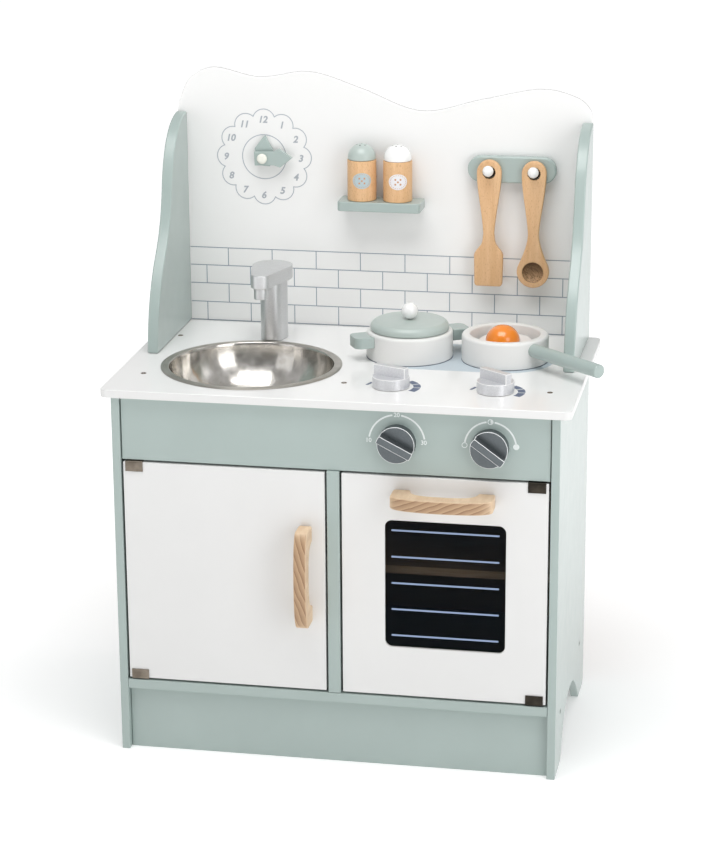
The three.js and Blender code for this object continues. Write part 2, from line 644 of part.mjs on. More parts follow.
function addPot() {
  const base = TOP + GAP;
  const { x, y, turn } = POT;
  add("pot", cookwareGeometry(), MATERIAL.lightGrey, [x, y, base]);

  // Each side handle is hollowed at its root to follow the pot's wall.
  const { reach, width, corner, top, height } = POT_HANDLE;
  const half = width / 2;
  const tab = roundedRect(THREE.Shape, COOKWARE.radius - 8, -half, COOKWARE.radius + reach, half, corner);
  const root = post(COOKWARE.radius + GAP, -1, height + 1, FINE);
  const block = box([COOKWARE.radius - 10, COOKWARE.radius + 6], [-half, half], [0, height]);
  const handle = cut(join(plateZ(tab, 0, height, 8), block), root);
  const handleZ = base + top - height;
  for (const [name, angle] of [["pot_handle_left", turn + 180], ["pot_handle_right", turn]]) {
    add(name, handle.clone(), MATERIAL.sage, [x, y, handleZ]).rotation.z = radians(angle);
  }

  const { radius, thickness, plug, ball } = LID;
  const inside = COOKWARE.radius - COOKWARE.wall - 0.8;
  const lidBase = base + COOKWARE.height + GAP;
  const lid = turned([
    [0, -plug], [inside, -plug], [inside, 0], [radius, 0], [radius, thickness - 7],
    [radius - 1.2, thickness - 4], [radius - 4, thickness - 1.8], [radius - 8, thickness - 0.7],
    [radius * 0.5, thickness], [0, thickness + 0.4],
  ]);
  add("pot_lid", lid, MATERIAL.sage, [x, y, lidBase]);
  const knob = new THREE.SphereGeometry(ball, SMALL, 10).rotateX(Math.PI / 2);
  const foot = box([-ball, ball], [-ball, ball], [-ball - 1, 0.6 - ball]);
  add("lid_knob", cut(knob, foot), MATERIAL.white, [x, y, lidBase + thickness + ball + GAP]);
}

function addPan() {
  const base = TOP + GAP;
  const { x, y, turn, handleR, handleEnd, handleZ } = PAN;
  add("pan", cookwareGeometry(), MATERIAL.lightGrey, [x, y, base]);

  // The round handle's root is hollowed to follow the pan's wall.
  const soft = 1.2;
  const rod = turned([
    [0, COOKWARE.radius - 6], [handleR, COOKWARE.radius - 6], [handleR, handleEnd - soft],
    [handleR - soft, handleEnd], [0, handleEnd],
  ], 24).rotateY(Math.PI / 2);
  const root = post(COOKWARE.radius + GAP, -12, 12, FINE);
  add("pan_handle", cut(rod, root), MATERIAL.sage, [x, y, base + handleZ]).rotation.z = radians(turn);

  // The egg white is a disc with five soft lobes; the yolk is a dome on it.
  const { white, lobe, thickness, yolk, yolkHeight, offset } = EGG;
  const rim = [];
  for (let i = 0; i < 40; i += 1) {
    const angle = (i / 40) * 2 * Math.PI;
    const r = white + lobe * Math.cos(5 * angle + 1);
    rim.push(new THREE.Vector2(r * Math.cos(angle), r * Math.sin(angle)));
  }
  const seat = base + COOKWARE.floor + GAP;
  add("egg_white", plateZ(new THREE.Shape(rim), 0, thickness), MATERIAL.white, [x, y, seat]);
  const dome = [[0, 0], [yolk, 0]];
  const steps = 6;
  for (let i = 1; i < steps; i += 1) {
    const angle = (i / steps) * (Math.PI / 2);
    dome.push([yolk * Math.cos(angle), yolkHeight * Math.sin(angle)]);
  }
  dome.push([0, yolkHeight]);
  add("egg_yolk", turned(dome, 28), MATERIAL.yolk, [x + offset, y, seat + thickness + GAP]);
}

addCabinet();
addWorktop();
addSink();
addFaucet();
addKnobs();
addDoors();
addBackboard();
addShakers();
addUtensils();
addClock();
addPot();
addPan();

kitchen.position.y = -(KICK.recess + BOARD / 2);

export default kitchen;
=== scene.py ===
"""A wooden play kitchen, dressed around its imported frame.

Shapes are worked out in millimetres in the part's own frame: +X to the right seen from the front,
+Y from the doors to the backboard, +Z up. A mesh becomes metres when its piece is finished.
"""

import json
import math

import bmesh
import bpy
from mathutils import Matrix, Vector


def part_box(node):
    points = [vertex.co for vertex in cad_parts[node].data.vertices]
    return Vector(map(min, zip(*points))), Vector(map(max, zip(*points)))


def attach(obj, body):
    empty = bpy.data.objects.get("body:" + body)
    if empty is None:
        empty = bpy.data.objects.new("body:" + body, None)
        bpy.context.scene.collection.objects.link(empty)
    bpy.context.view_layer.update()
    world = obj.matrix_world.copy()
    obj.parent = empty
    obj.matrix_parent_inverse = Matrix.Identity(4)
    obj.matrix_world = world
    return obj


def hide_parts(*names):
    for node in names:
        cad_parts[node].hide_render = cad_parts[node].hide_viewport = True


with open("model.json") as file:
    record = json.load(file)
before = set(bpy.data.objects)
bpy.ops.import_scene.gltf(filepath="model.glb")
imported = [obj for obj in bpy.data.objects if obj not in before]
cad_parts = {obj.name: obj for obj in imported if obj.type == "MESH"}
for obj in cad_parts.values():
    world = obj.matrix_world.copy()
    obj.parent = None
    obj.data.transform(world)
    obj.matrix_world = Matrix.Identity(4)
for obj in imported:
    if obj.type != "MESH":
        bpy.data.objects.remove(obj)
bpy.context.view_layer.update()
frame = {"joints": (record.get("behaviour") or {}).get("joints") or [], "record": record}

# ---------- driving dimensions ----------

MM = 0.001
INK = 0.12                              # how far a printed line stands off its surface
SUNK = 0.05                             # how far it reaches into the surface
SIDES = ("left", "right")
CLEARANCE = 0.3                         # between two pieces that don't touch


def node_box(node):
    """Lowest and highest corner of a node of the frame, in millimetres."""
    low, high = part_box(node)
    return low / MM, high / MM


def centre_of(node):
    low, high = node_box(node)
    return (low + high) / 2


def at(node):
    """The place of a piece that is drawn upright about its node's middle."""
    middle = centre_of(node)
    return Matrix.Translation((middle.x, middle.y, 0))


TOP = node_box("worktop")[1].z
BOARD_FRONT = node_box("backboard")[0].y
PANEL_FRONT = node_box("control_panel")[0].y
SIDE_FRONT = node_box("side_panel_left")[0].y
SIDE_OUTER = node_box("side_panel_right")[1].x
WING_INNER = node_box("wing_right")[0].x

SHOULDER = 727                          # height at which the wings meet the backboard's crest
COOKWARE_R = 52.7
NECK, NECK_Z = 6.7, 588                 # half the width of the utensils' necks, and their height
SHANK = 4                               # radius of the pegs' shanks
ROUND = 112                             # sides of the pot, the pan and the lid

# How far the turning pieces stand from straight, in degrees.
KNOB_TURNS = {"oven_knob_left": -27, "oven_knob_right": -36, "hob_knob_left": -22.5, "hob_knob_right": -37}
SPOUT_TURN = -3.3
POT_TURN = 30
PAN_TURN = -42

# ---------- outlines ----------


def linear_steps(start, end, steps):
    return [start + (end - start) * i / steps for i in range(steps + 1)]


def arc(x, y, radius, start, end, steps=16, rise=None):
    """Points on an arc, with its angles in degrees; an oval one has its other radius in rise."""
    angles = [math.radians(a) for a in linear_steps(start, end, steps)]
    other = radius if rise is None else rise
    return [(x + radius * math.cos(a), y + other * math.sin(a)) for a in angles]


def circle(x, y, radius, steps=64):
    return arc(x, y, radius, 0, 360, steps)[:-1]


def polar(x, y, reach, angle):
    """The point at a reach from another one, in a direction in degrees."""
    way = math.radians(angle)
    return x + reach * math.cos(way), y + reach * math.sin(way)


def bezier(*controls, steps=14):
    """A cubic curve's points after its first one."""
    points = []
    for t in linear_steps(0, 1, steps)[1:]:
        weights = ((1 - t) ** 3, 3 * t * (1 - t) ** 2, 3 * t * t * (1 - t), t ** 3)
        points.append(tuple(sum(w * c[axis] for w, c in zip(weights, controls)) for axis in (0, 1)))
    return points


def through(points):
    """A smooth curve through the points, which holds its ends."""
    steps = 10
    path = [points[0]]
    padded = [points[0], *points, points[-1]]
    for a, b, c, d in zip(padded, padded[1:], padded[2:], padded[3:]):
        for t in linear_steps(0, 1, steps)[1:]:
            path.append(tuple(
                0.5 * (2 * b[k] + (c[k] - a[k]) * t + (2 * a[k] - 5 * b[k] + 4 * c[k] - d[k]) * t * t
                       + (3 * b[k] - a[k] - 3 * c[k] + d[k]) * t ** 3) for k in (0, 1)))
    return path


def rounded_rect(x0, y0, x1, y1, r):
    corners = [(x1 - r, y0 + r, -90), (x1 - r, y1 - r, 0), (x0 + r, y1 - r, 90), (x0 + r, y0 + r, 180)]
    return [p for x, y, start in corners for p in arc(x, y, r, start, start + 90, steps=8)]


def fillet(points, radius, steps=5):
    """Rounds every corner between an open line's ends."""
    rounded = [points[0]]
    for before, corner, after in zip(points, points[1:], points[2:]):
        here = Vector(corner)
        arms = [Vector(end) - here for end in (before, after)]
        reach = min(radius, *(arm.length * 0.48 for arm in arms))
        start, end = [here + arm.normalized() * reach for arm in arms]
        for t in linear_steps(0, 1, steps):
            rounded.append(tuple(start * (1 - t) ** 2 + here * 2 * t * (1 - t) + end * t * t))
    return [*rounded, points[-1]]


def rod(radius, low, high, rounding):
    """The profile of a plain turned rod between two heights."""
    return fillet([(0, low), (radius, low), (radius, high), (0, high)], rounding)


def tear(y_front, r_front, y_back, r_back):
    """Two discs on one line along Y with a taut band round them."""
    lean = math.degrees(math.asin((r_back - r_front) / (y_back - y_front)))
    front = arc(0, y_front, r_front, 180 + lean, 360 - lean, 24)
    return front + arc(0, y_back, r_back, -lean, 180 + lean, 32)


# ---------- mesh building ----------

PLACES = {
    "XY": lambda u, v, t: (u, v, t),
    "XZ": lambda u, v, t: (u, t, v),
    "YZ": lambda u, v, t: (t, u, v),
}
ACROSS = {"XY": 2, "XZ": 1, "YZ": 0}    # the axis that a plate in that plane is thick along


def spin(angle, axis="Z"):
    """A turn by degrees about an axis."""
    return Matrix.Rotation(math.radians(angle), 4, axis)


def set_all(thing, **values):
    for key, value in values.items():
        setattr(thing, key, value)
    return thing


def add_object(name, data):
    thing = bpy.data.objects.new(name, data)
    bpy.context.scene.collection.objects.link(thing)
    return thing


def result_of(thing):
    """A new mesh of what an object's modifiers, or its text, come to."""
    graph = bpy.context.evaluated_depsgraph_get()
    return bpy.data.meshes.new_from_object(thing.evaluated_get(graph))


def wall(bm, first, second):
    """Faces between two closed rings of vertices; a ring of one vertex is a tip."""
    count = max(len(first), len(second))
    for i in range(count):
        j = (i + 1) % count
        lower = [first[i % len(first)], first[j % len(first)]]
        upper = [second[j % len(second)], second[i % len(second)]]
        face = list(dict.fromkeys(lower + upper))
        if len(face) > 2:
            bm.faces.new(face)


def plate(bm, outline, near, far, plane="XY"):
    """A flat piece cut to an outline, between two heights across its plane."""
    rings = [[bm.verts.new(PLACES[plane](u, v, t)) for u, v in outline] for t in (near, far)]
    for ring in rings:
        bm.faces.new(ring)
    wall(bm, *rings)


def block(bm, low, high):
    (x0, y0, z0), (x1, y1, z1) = low, high
    plate(bm, [(x0, y0), (x1, y0), (x1, y1), (x0, y1)], z0, z1)


def lathe(bm, profile, sides=72):
    """A turned solid about Z from (radius, height) pairs that start and end on the axis."""
    rings = []
    for r, z in profile:
        steps = sides if r > 1e-4 else 1
        turns = [2 * math.pi * i / steps for i in range(steps)]
        rings.append([bm.verts.new((r * math.cos(a), r * math.sin(a), z)) for a in turns])
    for first, second in zip(rings, rings[1:]):
        wall(bm, first, second)


def ribbon(bm, points, width, near, far, plane, closed=False):
    """A thin flat line along the points, with mitred corners."""
    spots = [Vector(p) for p in points]
    sides = []
    for i, here in enumerate(spots):
        before = spots[i - 1] if closed or i else None
        after = spots[(i + 1) % len(spots)] if closed or i < len(spots) - 1 else None
        ways = [(b - a).normalized() for a, b in ((before, here), (here, after)) if a and b]
        way = sum(ways, Vector((0, 0))).normalized()
        stretch = 1 / max(way.dot(ways[0]), 0.3)
        side = Vector((-way.y, way.x)) * width / 2 * stretch
        sides.append((here + side, here - side))
    place = PLACES[plane]
    rows = [[bm.verts.new(place(*p, t)) for t in (near, far) for p in (pair if t == near else pair[::-1])]
            for pair in sides]
    pairs = list(zip(rows, rows[1:] + rows[:1])) if closed else list(zip(rows, rows[1:]))
    for first, second in pairs:
        wall(bm, first, second)
    if not closed:
        bm.faces.new(rows[0])
        bm.faces.new(rows[-1])


def cylinder(bm, radius, low, high, sides=64):
    lathe(bm, [(0, low), (radius, low), (radius, high), (0, high)], sides)


def turned_to(place, tilt=0, turn=0):
    """The place of a piece that stands on its own XY plane: turned about Z, tilted about X, then moved."""
    return Matrix.Translation(place) @ (spin(tilt, "X") @ spin(turn))


def to_object(name, bm, looks):
    """Makes a smooth-shaded object in metres from a mesh drawn in millimetres."""
    bmesh.ops.recalc_face_normals(bm, faces=bm.faces)
    bmesh.ops.scale(bm, vec=(MM, MM, MM), verts=bm.verts)
    mesh = bpy.data.meshes.new(name)
    bm.to_mesh(mesh)
    bm.free()
    for look in looks:
        mesh.materials.append(look)
    piece = add_object(name, mesh)
    shade(piece)
    return piece


def shade(piece):
    """Smooth shading, but for edges whose faces meet at more than a small angle."""
    sharp = 32
    piece.data.shade_smooth()
    piece.data.set_sharp_from_angle(angle=math.radians(sharp))


def drawn(draw, place):
    """The mesh that a drawing function fills, moved to its place."""
    bm = bmesh.new()
    draw(bm)
    bmesh.ops.transform(bm, matrix=place, verts=bm.verts)
    return bm


def carve(piece, solids):
    """Cuts solids, each a bmesh in millimetres, out of a piece."""
    cutters = []
    for bm in solids:
        cutter = to_object("cutter", bm, [])
        set_all(piece.modifiers.new("cut", "BOOLEAN"), object=cutter, operation="DIFFERENCE", solver="EXACT")
        cutters.append(cutter)
    mesh = result_of(piece)
    piece.modifiers.clear()
    old, piece.data = piece.data, mesh
    mesh.name = old.name
    bpy.data.meshes.remove(old)
    for cutter in cutters:
        bpy.data.objects.remove(cutter)
    shade(piece)


def soften(piece, width, segments=3, look=-1):
    """Rounds a piece's sharp edges; look is the material slot of the rounding."""
    sharp = 35
    set_all(piece.modifiers.new("soft_edges", "BEVEL"), width=width * MM, segments=segments,
            limit_method="ANGLE", angle_limit=math.radians(sharp), use_clamp_overlap=False,
            harden_normals=True, material=look)


def make(name, body, draw, looks, edge=0.0, place=Matrix(), cuts=(), tints=(), slot=None, node=None,
         **edge_settings):
    """Draws a piece and its cuts in its own place, rounds it and lets it ride on its body.

    A tint is (material slot, test): the test says of a face's middle, in millimetres in the part's
    frame, and its normal whether the face takes that slot.
    """
    piece = to_object(name, drawn(draw, place), looks if isinstance(looks, list) else [looks])
    if cuts:
        carve(piece, [drawn(cut, place) for cut in cuts])
    for index, test in tints:
        for face in piece.data.polygons:
            if test(face.center / MM, face.normal):
                face.material_index = index
    if edge:
        soften(piece, edge, **edge_settings)
    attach(piece, body)
    if node:
        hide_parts(*([node] if isinstance(node, str) else node))
    return piece


BODY_OF = {node: body for body, nodes in frame["record"]["behaviour"]["bodies"].items() for node in nodes}
SLOT_OF = {part["node"]: part["material_slot"] for part in frame["record"]["subparts"]}


def stand_for(node, draw, looks, edge=0.0, **settings):
    """A finished piece in place of one node of the frame, riding on that node's body."""
    return make(f"{node}_piece", BODY_OF[node], draw, looks, edge, slot=SLOT_OF[node], node=node, **settings)


def plain_board(node, look, edge):
    """A finished board that fills its node's box."""
    stand_for(node, lambda bm: block(bm, *node_box(node)), look, edge)


def board(node, outline, plane, looks, edge, **settings):
    """A finished board cut to an outline, as thick as its node."""
    near, far = [corner[ACROSS[plane]] for corner in node_box(node)]
    stand_for(node, lambda bm: plate(bm, outline, near, far, plane), looks, edge, **settings)


def turned_piece(node, profile, looks, sides=72, place=None, **settings):
    """A finished turned piece, upright about its node's middle or standing at a place of its own."""
    foot = at(node) if place is None else place
    stand_for(node, lambda bm: lathe(bm, profile, sides), looks, place=foot, **settings)


def add_print(name, draw, look, body="cabinet"):
    """A printed piece: it stands for no node and has no slot."""
    make(name, body, draw, look)


def printed_on(face):
    """Where a printed line lies along Y on a face that looks to the front."""
    return face - INK, face + SUNK


# ---------- materials ----------


def linear(colour, factor=1.0):
    """An sRGB colour such as "a9bdb7", as linear red, green, blue and alpha."""
    channels = [int(colour[i:i + 2], 16) / 255 for i in (0, 2, 4)]
    light = [c / 12.92 if c <= 0.04045 else ((c + 0.055) / 1.055) ** 2.4 for c in channels]
    return (*[min(1.0, c * factor) for c in light], 1.0)


class Look:
    """A material of nodes round one Principled shader, textured in the piece's own coordinates."""

    def __init__(self, name, **sockets):
        self.material = bpy.data.materials.new(name)
        self.material.use_nodes = True
        self.nodes = self.material.node_tree.nodes
        self.shader = self.nodes["Principled BSDF"]
        for socket, value in sockets.items():
            self.shader.inputs[socket.replace("_", " ")].default_value = value
        self.coordinates = self.nodes.new("ShaderNodeTexCoord")

    def add(self, kind, inputs=(), **settings):
        node = set_all(self.nodes.new(kind), **settings)
        for key, value in dict(inputs).items():
            self.feed(node.inputs[key], value)
        return node

    def feed(self, socket, value):
        """Links a socket to another one, or sets its value; a colour may be an sRGB one."""
        if isinstance(value, bpy.types.NodeSocket):
            self.material.node_tree.links.new(value, socket)
        else:
            socket.default_value = linear(value) if isinstance(value, str) else value

    def height(self):
        """How high above the floor a point is, in metres."""
        split = self.add("ShaderNodeSeparateXYZ", {"Vector": self.coordinates.outputs["Object"]})
        return split.outputs["Z"]

    def space(self, stretch, turn):
        """The piece's coordinates, turned by degrees and then drawn out along each axis by stretch."""
        turned = self.add("ShaderNodeMapping", {
            "Vector": self.coordinates.outputs["Object"],
            "Rotation": [math.radians(angle) for angle in turn],
        })
        scale = [1 / s for s in stretch]
        return self.add("ShaderNodeMapping", {"Vector": turned.outputs[0], "Scale": scale}).outputs[0]

    def noise(self, size, detail=2.0, stretch=(1, 1, 1), turn=(0, 0, 0)):
        """Noise whose spots are about size millimetres across, drawn out along each axis by stretch."""
        inputs = {"Vector": self.space(stretch, turn), "Scale": 1 / (size * MM), "Detail": detail}
        return self.add("ShaderNodeTexNoise", inputs).outputs[0]

    def bands(self, pitch, turn, distortion, detail_size):
        """Bands across the turned X axis, pitch millimetres apart."""
        per_unit = 20                   # a wave texture of scale one has 20 bands to 2 pi units
        inputs = {
            "Vector": self.space((1, 1, 1), turn),
            "Scale": 2 * math.pi / (per_unit * pitch * MM),
            "Distortion": distortion,
            "Detail": 2.0,
            "Detail Scale": detail_size,
        }
        return self.add("ShaderNodeTexWave", inputs, wave_profile="SAW", bands_direction="X").outputs["Fac"]

    def ramp(self, factor, *stops):
        """A run of colours; a stop is a position, a colour and, where it isn't 1, a brightness."""
        node = self.add("ShaderNodeValToRGB", {"Fac": factor})
        elements = node.color_ramp.elements
        while len(elements) < len(stops):
            elements.new(0.5)
        for element, (position, *colour) in zip(elements, stops):
            element.position = position
            element.color = linear(*colour)
        return node.outputs["Color"]

    def spread(self, factor, low, high, start=0.25, end=0.75):
        """Turns a noise value between start and end into a number between low and high."""
        inputs = {"Value": factor, "From Min": start, "From Max": end, "To Min": low, "To Max": high}
        return self.add("ShaderNodeMapRange", inputs).outputs["Result"]

    def mix(self, factor, first, second):
        node = self.add("ShaderNodeMix", data_type="RGBA", blend_type="MIX")
        self.feed(node.inputs["Factor"], factor)
        colours = [socket for socket in node.inputs if socket.type == "RGBA"]
        self.feed(colours[0], first)
        self.feed(colours[1], second)
        return [socket for socket in node.outputs if socket.type == "RGBA"][0]

    def finish(self, colour, roughness=None, height=None, depth=0.02):
        """Connects what was made; height gives a bump, depth millimetres deep."""
        self.feed(self.shader.inputs["Base Color"], colour)
        if roughness is not None:
            self.feed(self.shader.inputs["Roughness"], roughness)
        if height is not None:
            bump = self.add("ShaderNodeBump", {"Height": height, "Distance": depth * MM})
            self.feed(self.shader.inputs["Normal"], bump.outputs["Normal"])
        return self.material


def lacquer(name, colour, roughness=0.45, coat=0.6, tone=0.025, grain=0.006, gloss=0.24, fade=None):
    """Sprayed satin lacquer: faint cloudiness, a fine pebbled surface, patches of more and less gloss.

    A fade is a second colour and the two heights, in millimetres, between which it takes over.
    """
    look = Look(name, Coat_Weight=coat, Coat_Roughness=gloss)
    clouds = look.noise(70, detail=4)
    cloudy = look.ramp(clouds, (0.3, colour, 1 - tone), (0.7, colour, 1 + tone))
    specks = look.spread(look.noise(1.1, detail=3), 0.97, 1.0, 0.3, 0.6)
    speckled = look.mix(0.5, cloudy, look.mix(specks, linear(colour, 0.93), cloudy))
    if fade:
        second, start, end = fade
        speckled = look.mix(look.spread(look.height(), 0, 1, start * MM, end * MM), speckled, second)
    patches = look.spread(look.noise(22, detail=3), roughness - 0.04, roughness + 0.04)
    return look.finish(speckled, patches, look.noise(1.4, detail=2), grain)


def ink(name, colour, roughness=0.5):
    """A screen print: flat colour with slightly uneven cover."""
    look = Look(name)
    cover = look.noise(0.8, detail=3)
    return look.finish(look.ramp(cover, (0.3, colour, 0.94), (0.7, colour, 1.04)), roughness,
                       cover, 0.01)


def beech(name, shade):
    """Beech with the grain along Z: soft bands and short dark flecks."""
    look = Look(name)
    bands = look.ramp(look.noise(6, detail=4, stretch=(1, 1, 14)),
                      (0.3, "d0a679", shade), (0.7, "dcb68c", shade))
    flecks = look.spread(look.noise(0.75, detail=1, stretch=(1, 1, 5)), 0, 0.5, 0.6, 0.7)
    flecked = look.mix(flecks, bands, linear("9f7048", shade))
    fibres = look.noise(0.4, detail=2, stretch=(1, 1, 30))
    fibrous = look.mix(look.spread(fibres, 0, 0.3, 0.35, 0.7), flecked, linear("c08f60", shade))
    return look.finish(fibrous, look.spread(fibres, 0.42, 0.58), fibres, 0.02)


def cupped_beech(name, middle):
    """Beech turned into a small cup: slanting streaks, with painted shade that darkens it towards its upper
    edge, where the hollow lies in shadow.
    """
    look = Look(name)
    reach = 11                          # how far the painted shade runs above and below the middle
    streaks = look.noise(0.9, detail=3, stretch=(1, 1, 9), turn=(0, 38, 0))
    up = look.spread(look.height(), 0, 1, (middle - reach) * MM, (middle + reach) * MM)
    # painted shade: pale wood at the foot of the hollow, dark brown at its upper edge
    wood = look.mix(up, "bd9870", "634425")
    streaked = look.mix(look.spread(streaks, 0, 0.7, 0.42, 0.6), wood, "543b22")
    return look.finish(streaked, 0.6, streaks, 0.05)


def ash(name, lengthwise):
    """Ash cut into a bow: pale flanks, and a browner front face with slanting growth rings."""
    slant, grain = (18, 18) if lengthwise == "Z" else (-68, 112)
    look = Look(name)
    rings = look.bands(6.0, (0, slant, 0), distortion=2.4, detail_size=0.9)
    hair = look.noise(0.5, detail=3, stretch=(1, 1, 14), turn=(0, grain, 0))
    front = look.ramp(rings, (0.0, "8b694c"), (0.3, "ab8a6b"), (1.0, "c5a685"))
    flank_rings = look.noise(9, detail=2, stretch=(1, 3, 1))
    flank = look.ramp(flank_rings, (0.35, "dcbf9e"), (0.65, "e8cfb0"))
    normal = look.add("ShaderNodeSeparateXYZ", {"Vector": look.coordinates.outputs["Normal"]})
    facing = look.spread(normal.outputs["Y"], 1.0, 0.0, -0.97, -0.55)
    wood = look.mix(facing, flank, front)
    fibrous = look.mix(look.spread(hair, 0, 0.4, 0.35, 0.7), wood, look.mix(0.5, wood, "9c7a58"))
    return look.finish(fibrous, look.spread(hair, 0.45, 0.6), hair, 0.03)


def raw_wood(name, light, dark, stretch=(14, 1, 1)):
    """Plain sawn softwood or hardboard, with fibres along the stretched axis."""
    look = Look(name)
    fibres = look.noise(1.6, detail=5, stretch=stretch)
    return look.finish(look.ramp(fibres, (0.3, dark), (0.7, light)), 0.75, fibres, 0.05)


def metallic_paint(name, colour, roughness, metallic=0.9, sparkle=0.05):
    """Metallic lacquer: fine flakes that vary the colour and the gloss."""
    look = Look(name, Metallic=metallic)
    flakes = look.noise(0.9, detail=2)
    flaked = look.ramp(flakes, (0.3, colour, 0.9), (0.7, colour, 1.08))
    gloss = look.spread(look.noise(9, detail=2), roughness - sparkle, roughness + sparkle)
    return look.finish(flaked, gloss, flakes, 0.002)


def polished_steel(name, dark, light, smooth, dull, ripple):
    """Pressed steel, turned to a satin shine, with a smoky bloom and long soft ripples down the wall."""
    look = Look(name, Metallic=1.0, Anisotropic=0.8, Anisotropic_Rotation=0.25)
    around = look.add("ShaderNodeTangent", direction_type="RADIAL", axis="Z")
    look.feed(look.shader.inputs["Tangent"], around.outputs["Tangent"])
    bloom = look.noise(16, detail=4)
    tint = look.ramp(bloom, (0.3, dark), (0.7, light))
    gloss = look.spread(look.noise(7, detail=4), smooth, dull)
    ripples = look.noise(20, detail=1.5, stretch=(1, 1, 2.5))
    return look.finish(tint, gloss, ripples, ripple)


def bronzed_steel(name, dark, light):
    """Dark sheet steel, rubbed a little lighter in places."""
    look = Look(name, Metallic=0.85)
    rub = look.noise(14, detail=3)
    fine = look.noise(0.7, detail=2)
    tone = look.ramp(rub, (0.35, dark), (0.75, light))
    worn = look.mix(look.spread(fine, 0, 0.3), tone, light)
    return look.finish(worn, look.spread(rub, 0.32, 0.42), fine, 0.004)


def smoked_pane(name):
    """Dark see-through pane with a faint bloom of dust."""
    look = Look(name, Alpha=0.45, IOR=1.35, Specular_IOR_Level=0.15)
    dust = look.noise(6, detail=6)
    tint = look.ramp(dust, (0.35, "02060d"), (0.85, "070c14"))
    return look.finish(tint, look.spread(dust, 0.05, 0.1))


SAGE = lacquer("sage_lacquer", "a5b4b0", coat=0.8)
WHITE = lacquer("white_lacquer", "e3e3e2", tone=0.01)
# painted light: the backboard is a brighter white than the doors, and is painted lighter below 540 mm than
# above 660 mm
BOARD_WHITE = lacquer("backboard_lacquer", "f8f8f7", tone=0.008, fade=("ededec", 540, 660))
WORKTOP_WHITE = lacquer("worktop_lacquer", "f4f4f3", roughness=0.35, coat=0.8, tone=0.008, gloss=0.15)
GREY = lacquer("grey_lacquer", "e7e7e5", roughness=0.5, coat=0.3, tone=0.012)
GLOSS_WHITE = lacquer("glossy_white", "f3f3f2", roughness=0.3, coat=1.0, tone=0.008, grain=0.002, gloss=0.1)
GLOSS_SAGE = lacquer("glossy_sage", "b3bfba", roughness=0.36, coat=0.6, tone=0.012, grain=0.002, gloss=0.33)
CREAM = lacquer("cream_lacquer", "eeeee4", roughness=0.3, coat=1.0, tone=0.008, grain=0.002, gloss=0.12)
YOLK = lacquer("yolk_lacquer", "f58a12", roughness=0.3, coat=1.0, tone=0.025, grain=0.002, gloss=0.14)
EGG_WHITE = lacquer("egg_white_lacquer", "e9e6e3", roughness=0.5, coat=0.3, tone=0.01)
BEECH = beech("oiled_beech", shade=1.15)
# the spoon's hollow: beech with painted shade, darker towards its upper edge
CUP_BEECH_PAINTED_SHADE = cupped_beech("spoon_cup_beech_painted_shade", node_box("spoon")[0].z + 19.3)
# beech darkened to near black for the walls of the utensils' eyes: painted shade in the narrow holes
EYE_PAINTED_SHADE_BEECH = beech("eye_painted_shade_beech", shade=0.16)
ASH_UPRIGHT = ash("oiled_ash_upright", "Z")
ASH_LEVEL = ash("oiled_ash_level", "X")
SHELF_WOOD = raw_wood("shelf_ash", "e8cfae", "cba982")
BATTEN_WOOD = raw_wood("batten_ash", "e6cba6", "cda97d", stretch=(1, 14, 1))
HARDBOARD = raw_wood("rear_hardboard", "bfa385", "a58a6c", stretch=(2, 1, 2))
SILVER = metallic_paint("silver_paint", "d2d3d4", 0.33, metallic=0.75)
KNOB_SILVER = metallic_paint("knob_silver", "d9dadd", 0.36, metallic=0.5)
# near-white paint for the hob knobs' rounded edges: a painted highlight
SILVER_EDGE_PAINTED_HIGHLIGHT = metallic_paint("silver_edge_painted_highlight", "fafafa", 0.3, metallic=0.2, sparkle=0.02)
GRAPHITE = metallic_paint("graphite_paint", "6a7073", 0.42, metallic=0.8)
# near-white paint for the oven knobs' rounded edges: a painted highlight
GRAPHITE_EDGE_PAINTED_HIGHLIGHT = metallic_paint("graphite_edge_painted_highlight", "f2f4f5", 0.3, metallic=0.2, sparkle=0.02)
STEEL = polished_steel("polished_steel", "cac6bf", "e2dfdb", 0.16, 0.26, 0.8)
RIM_STEEL = polished_steel("satin_rim_steel", "b2ada5", "c4c0b9", 0.3, 0.4, 0.1)
BOLT_STEEL = metallic_paint("zinc_plate", "a9a9a4", 0.35, metallic=1.0)
BRONZE = bronzed_steel("bronzed_steel", "23201c", "4a443b")
# a lighter copy of the bronzed steel, for the cupboard door's hinge clips
LIGHT_BRONZED_STEEL = bronzed_steel("light_bronzed_steel", "665d52", "968c80")
SCREW = bronzed_steel("bronzed_screw", "5a4c3e", "85725e")
SIDE_SCREW = bronzed_steel("grey_screw", "6d7570", "98a09b")
PANE = smoked_pane("smoked_pane")
TILE_INK = ink("tile_ink", "929dab")
CLOCK_INK = ink("clock_ink", "a9afb8")
NUMBER_INK = ink("number_ink", "a8adb4")
DIAL_INK = ink("dial_ink", "e8eeed")
HOB_INK = ink("hob_ink", "c0cbd2")
# dark blue ink: the printed marks beside the hob knobs, and the painted contact shadow round each pan
HOB_DARK_INK_AND_PAINTED_SHADOW = ink("hob_dark_ink_and_painted_shadow", "59667f")
PANE_INK = ink("pane_ink", "8fa3c4", roughness=0.35)
LABEL_BLUE = ink("label_blue", "b5c6cb")
LABEL_WHITE = ink("label_white", "e9e7ea")
LABEL_BROWN = ink("label_brown", "c99a74")
# near-black ink for painted shade: in the shakers' holes and in a ring on the rail behind each utensil's eye
HOLE_PAINTED_SHADE = ink("hole_painted_shade", "2b2723", roughness=0.8)

# ---------- cabinet ----------


